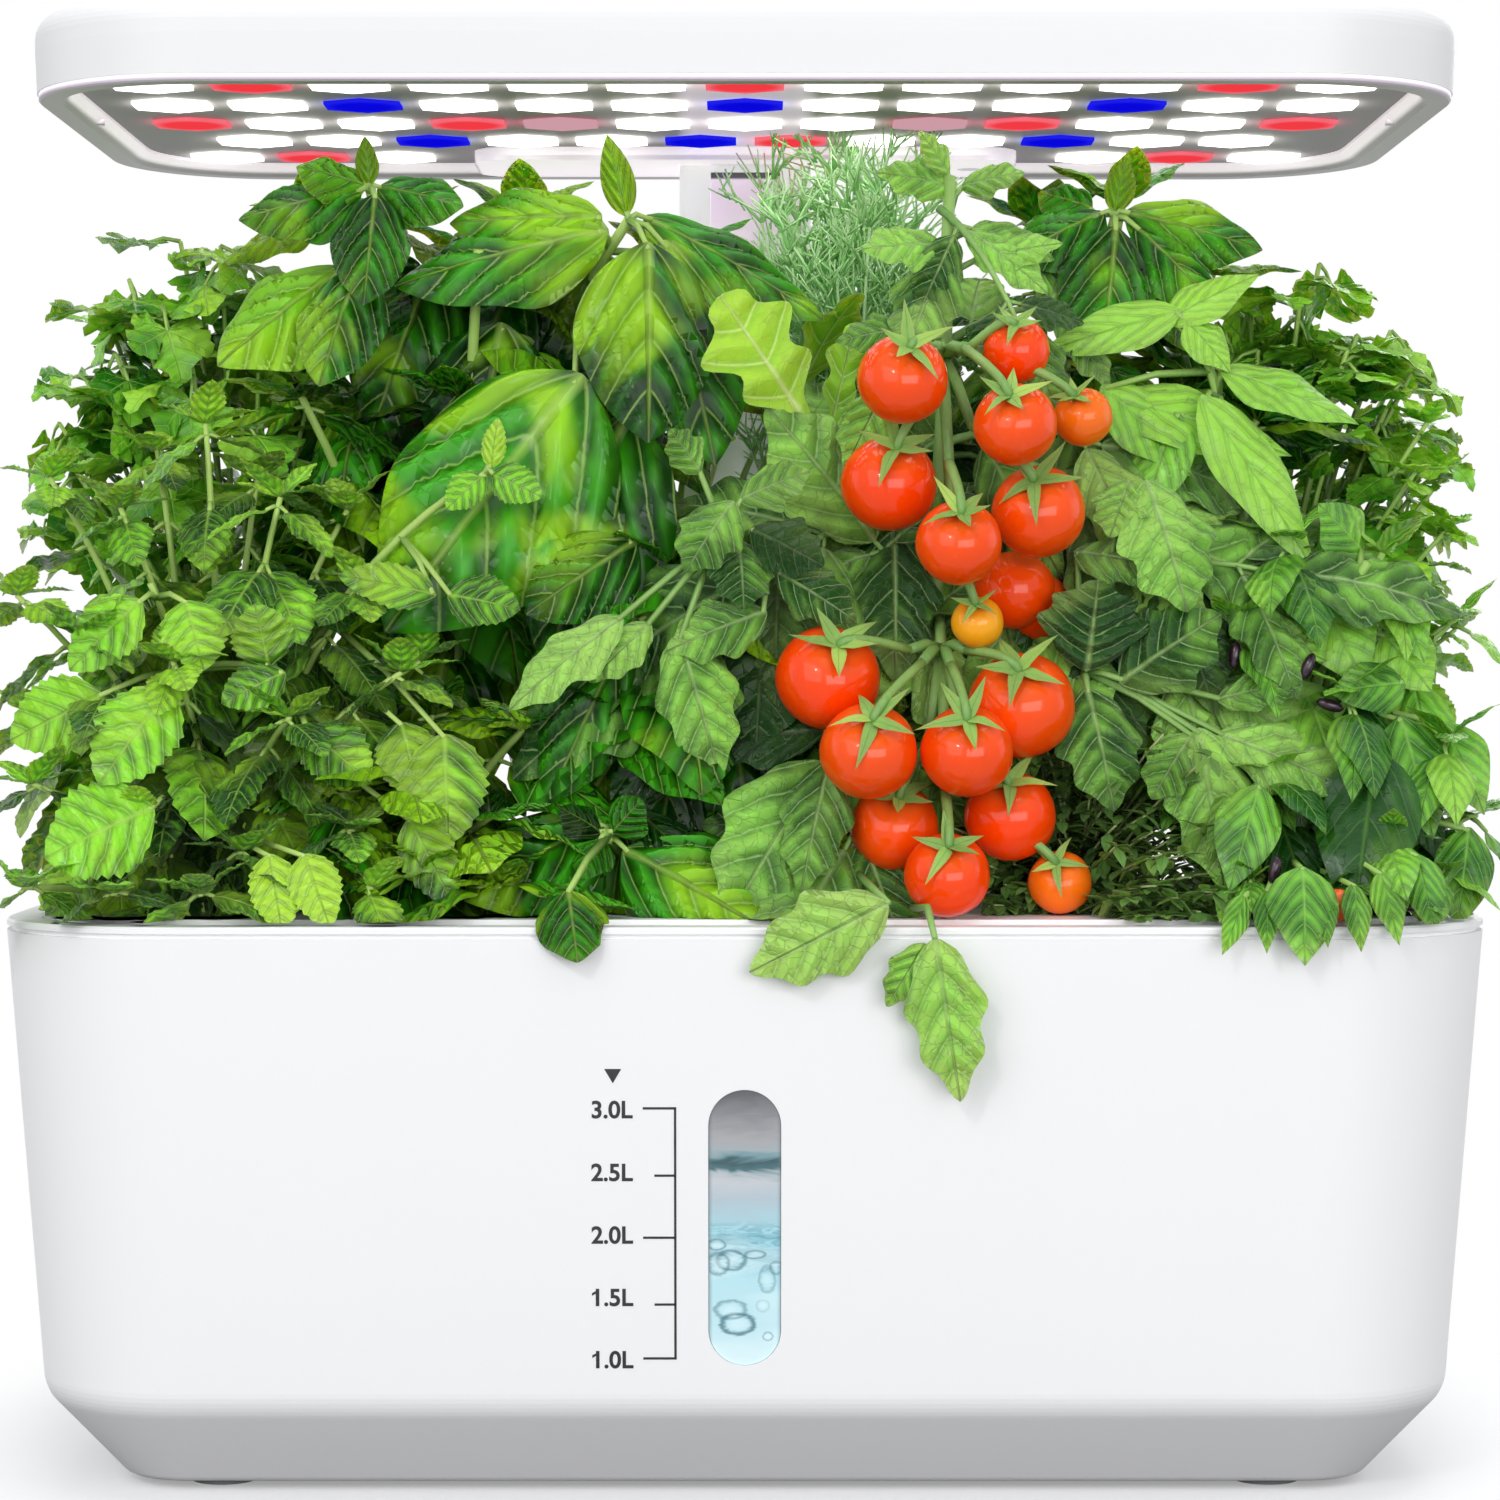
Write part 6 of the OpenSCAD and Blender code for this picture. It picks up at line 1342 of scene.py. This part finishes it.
            plant.stem([heel, (heel + knot) / 2 + [0, -1, 1], knot], 2.0, 2.4)
        for spot, size in (((49.5, -55, 163), 7.5), ((54, -52, 160), 6.5)):
            self.fruit(reds, np.array(spot), size, unit(np.array([0.2, -0.5, 1.0])))
        for height in (206, 152):
            plant.stem([[x, y, height + 6], [x, -50, height + 4], [x, -55, height]], 2.4, 2.2)
        leaf = leaf_material("tomato_leaf", "tomato", "#17480F", context.scene.garden_colours.tomato_leaf,
                             "#B4DE88", 0.42, 1.2, young="#B4E070", youth=0.35, sheen=0.1, sunlit=0.3)
        stem = stem_material("tomato_stem", "#4F8A32", "#86B656")
        calyx = leaf_material("calyx", "sepal", "#3C7A1E", "#86C04A", "#B4DA7C", 0.5, 0.2)
        plant.build("tomato_plant", [leaf, stem, calyx], "plant_tomato", "leaf_tomato")
        reds.build("tomato_fruit", [tomato_skin(context.scene.garden_colours.ripe)], "tomatoes",
                   "tomato_skin")
        return {"FINISHED"}

    def fruit(self, reds, centre, radius, way):
        """A tomato: a slightly flattened ball, dimpled where its stalk joins."""
        rings, sides = 18, 28
        t = np.linspace(0.03, math.pi - 0.03, rings)[:, None]
        turn = np.linspace(0, 2 * math.pi, sides, endpoint=False)[None, :]
        swell = 1 + 0.012 * np.cos(5 * turn) * np.sin(t) ** 2
        out = radius * np.sin(t) * swell
        dimple = 0.14 * radius * np.exp(-(t / 0.42) ** 2)
        up = 0.96 * radius * np.cos(t) - dimple + 0 * turn
        side, other = square_to(way)
        points = (centre + (out * np.cos(turn))[..., None] * side + (out * np.sin(turn))[...,
                                                                                         None] * other +
                  up[..., None] * way).reshape(-1, 3)
        shares = np.broadcast_to(t / math.pi, (rings, sides)).ravel()
        coords = np.stack([shares, np.full(len(shares), 0.5)], axis=1)
        ripeness = 0.15 if radius < 4.9 else 0.55 if radius < 5.9 else reds.random.uniform(0.82, 1.0)
        reds.add(points, ring_faces(rings, sides), coords, ripeness, 0)


class GARDEN_OT_studio(bpy.types.Operator):
    """Sets up the camera, the pale floor and the soft lights."""

    bl_idname = "garden.studio"
    bl_label = "Studio"
    bl_options = {"REGISTER", "UNDO"}

    def execute(self, context):
        scene = context.scene
        scene.view_settings.view_transform = "Standard"
        self.camera(scene)
        self.world(scene)
        self.floor()
        # square area lights, in metres and watts, that point at the middle of the garden
        middle = Vector((0, 0, 0.12))
        for name, spot, size, power in (
                ("key_light", (-0.75, -1.25, 0.62), 1.1, 6.0),
                ("fill_light", (0.45, -1.4, 0.14), 1.0, 12.6), ("top_light", (0.1, 0.1, 1.5), 1.0, 6.0),
                ("glint", (-0.45, -1.15, 0.8), 0.08, 1.7), ("right_light", (1.3, 0.1, 0.3), 0.8, 1.5),
                ("left_light", (-1.3, 0.1, 0.3), 0.8, 1.5), ("back_light", (0.3, 1.4, 0.7), 1.0, 7.0)):
            data = bpy.data.lights.new(name, "AREA")
            data.size = size
            data.energy = power
            light = new_object(name, data)
            light.location = spot
            light.rotation_euler = (middle - Vector(spot)).to_track_quat("-Z", "Y").to_euler()
        return {"FINISHED"}

    def camera(self, scene):
        """A long lens at the height of the plants, tilted a little down."""
        frame_px, focus_px, horizon_px, centre_px = 1500, 3950, 650, 744.7
        metres_per_px, distance, height = 0.000175, 0.7797, 0.152
        data = bpy.data.cameras.new("camera")
        data.lens = data.sensor_width * focus_px / frame_px
        scene.camera = new_object("camera", data)
        scene.camera.location = ((frame_px / 2 - centre_px) * metres_per_px, -distance, height)
        pitch = math.atan((frame_px / 2 - horizon_px) / focus_px)
        scene.camera.rotation_euler = (math.pi / 2 - pitch, 0, 0)

    def seen(self, add):
        """Whether the camera sees a place straight, and whether it does so in any way, as in a gloss."""
        rays = add("LightPath").node.outputs
        indirect = add("MAXIMUM", rays["Is Glossy Ray"], rays["Is Transmission Ray"])
        return rays["Is Camera Ray"], add("MAXIMUM", rays["Is Camera Ray"], indirect)

    def world(self, scene):
        """White where it is seen, and a softer cool grey where it only lights the garden."""
        scene.world = bpy.data.worlds.new("studio")
        scene.world.use_nodes = True
        tree = scene.world.node_tree
        add = partial(add_node, tree)
        _, seen = self.seen(add)
        soft = add("Background", Color="#F4F6FA", Strength=0.68)
        white = add("Background", Color="#FFFFFF", Strength=1.0)
        put(tree.nodes["World Output"].inputs[0], add("MixShader", seen, soft, white))

    def floor(self):
        """A pale floor that fades into the white round the garden and throws little light back on it."""
        material, add, place = new_material("pale_floor")
        straight, seen = self.seen(add)
        away = add("VectorMath", place, operation="LENGTH", out="Value")
        near, gone, veil = 130 * MM, 175 * MM, 0.28
        far = add("MULTIPLY", add("MapRange", away, near, gone, veil, 1.0), seen)
        shade(material, Base_Color=add("Mix", straight, "#545456", "#FCFCFD"), Roughness=0.75)
        nodes = material.node_tree.nodes
        white = add("Emission", Color="#FFFFFF", Strength=1.0)
        mixed = add("MixShader", far, nodes["Principled BSDF"].outputs[0], white)
        put(nodes["Material Output"].inputs[0], mixed)
        half = 4.0
        corners = [(-half, -half, 0), (half, -half, 0), (half, half, 0), (-half, half, 0)]
        new_object("floor", new_mesh("floor", corners, [(0, 1, 2, 3)], [material]))


OPERATORS = (GARDEN_OT_studio, GARDEN_OT_finishes, GARDEN_OT_lights, GARDEN_OT_level_scale, GARDEN_OT_mint,
             GARDEN_OT_basils, GARDEN_OT_parsley, GARDEN_OT_rocket_and_dill, GARDEN_OT_thyme,
             GARDEN_OT_pepper, GARDEN_OT_tomato)


class GARDEN_PT_panel(bpy.types.Panel):
    """Lists the garden's sizes, colours and pieces."""

    bl_label = "Hydroponic garden"
    bl_idname = "GARDEN_PT_panel"
    bl_space_type = "VIEW_3D"
    bl_region_type = "UI"
    bl_category = "Garden"

    def draw(self, context):
        for group in (context.scene.garden_sizes, context.scene.garden_colours):
            for key in group.__annotations__:
                self.layout.prop(group, key)
        for operator in OPERATORS:
            self.layout.operator(operator.bl_idname)


CLASSES = (GardenColours, GardenSizes, *OPERATORS, GARDEN_PT_panel)


def register():
    for cls in CLASSES:
        bpy.utils.register_class(cls)
    bpy.types.Scene.garden_colours = bpy.props.PointerProperty(type=GardenColours)
    bpy.types.Scene.garden_sizes = bpy.props.PointerProperty(type=GardenSizes)


def unregister():
    del bpy.types.Scene.garden_sizes
    del bpy.types.Scene.garden_colours
    for cls in reversed(CLASSES):
        bpy.utils.unregister_class(cls)


def main():
    register()
    for operator in OPERATORS:
        getattr(bpy.ops.garden, operator.bl_idname.split(".")[1])()
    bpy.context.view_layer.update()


if __name__ == "__main__":
    main()
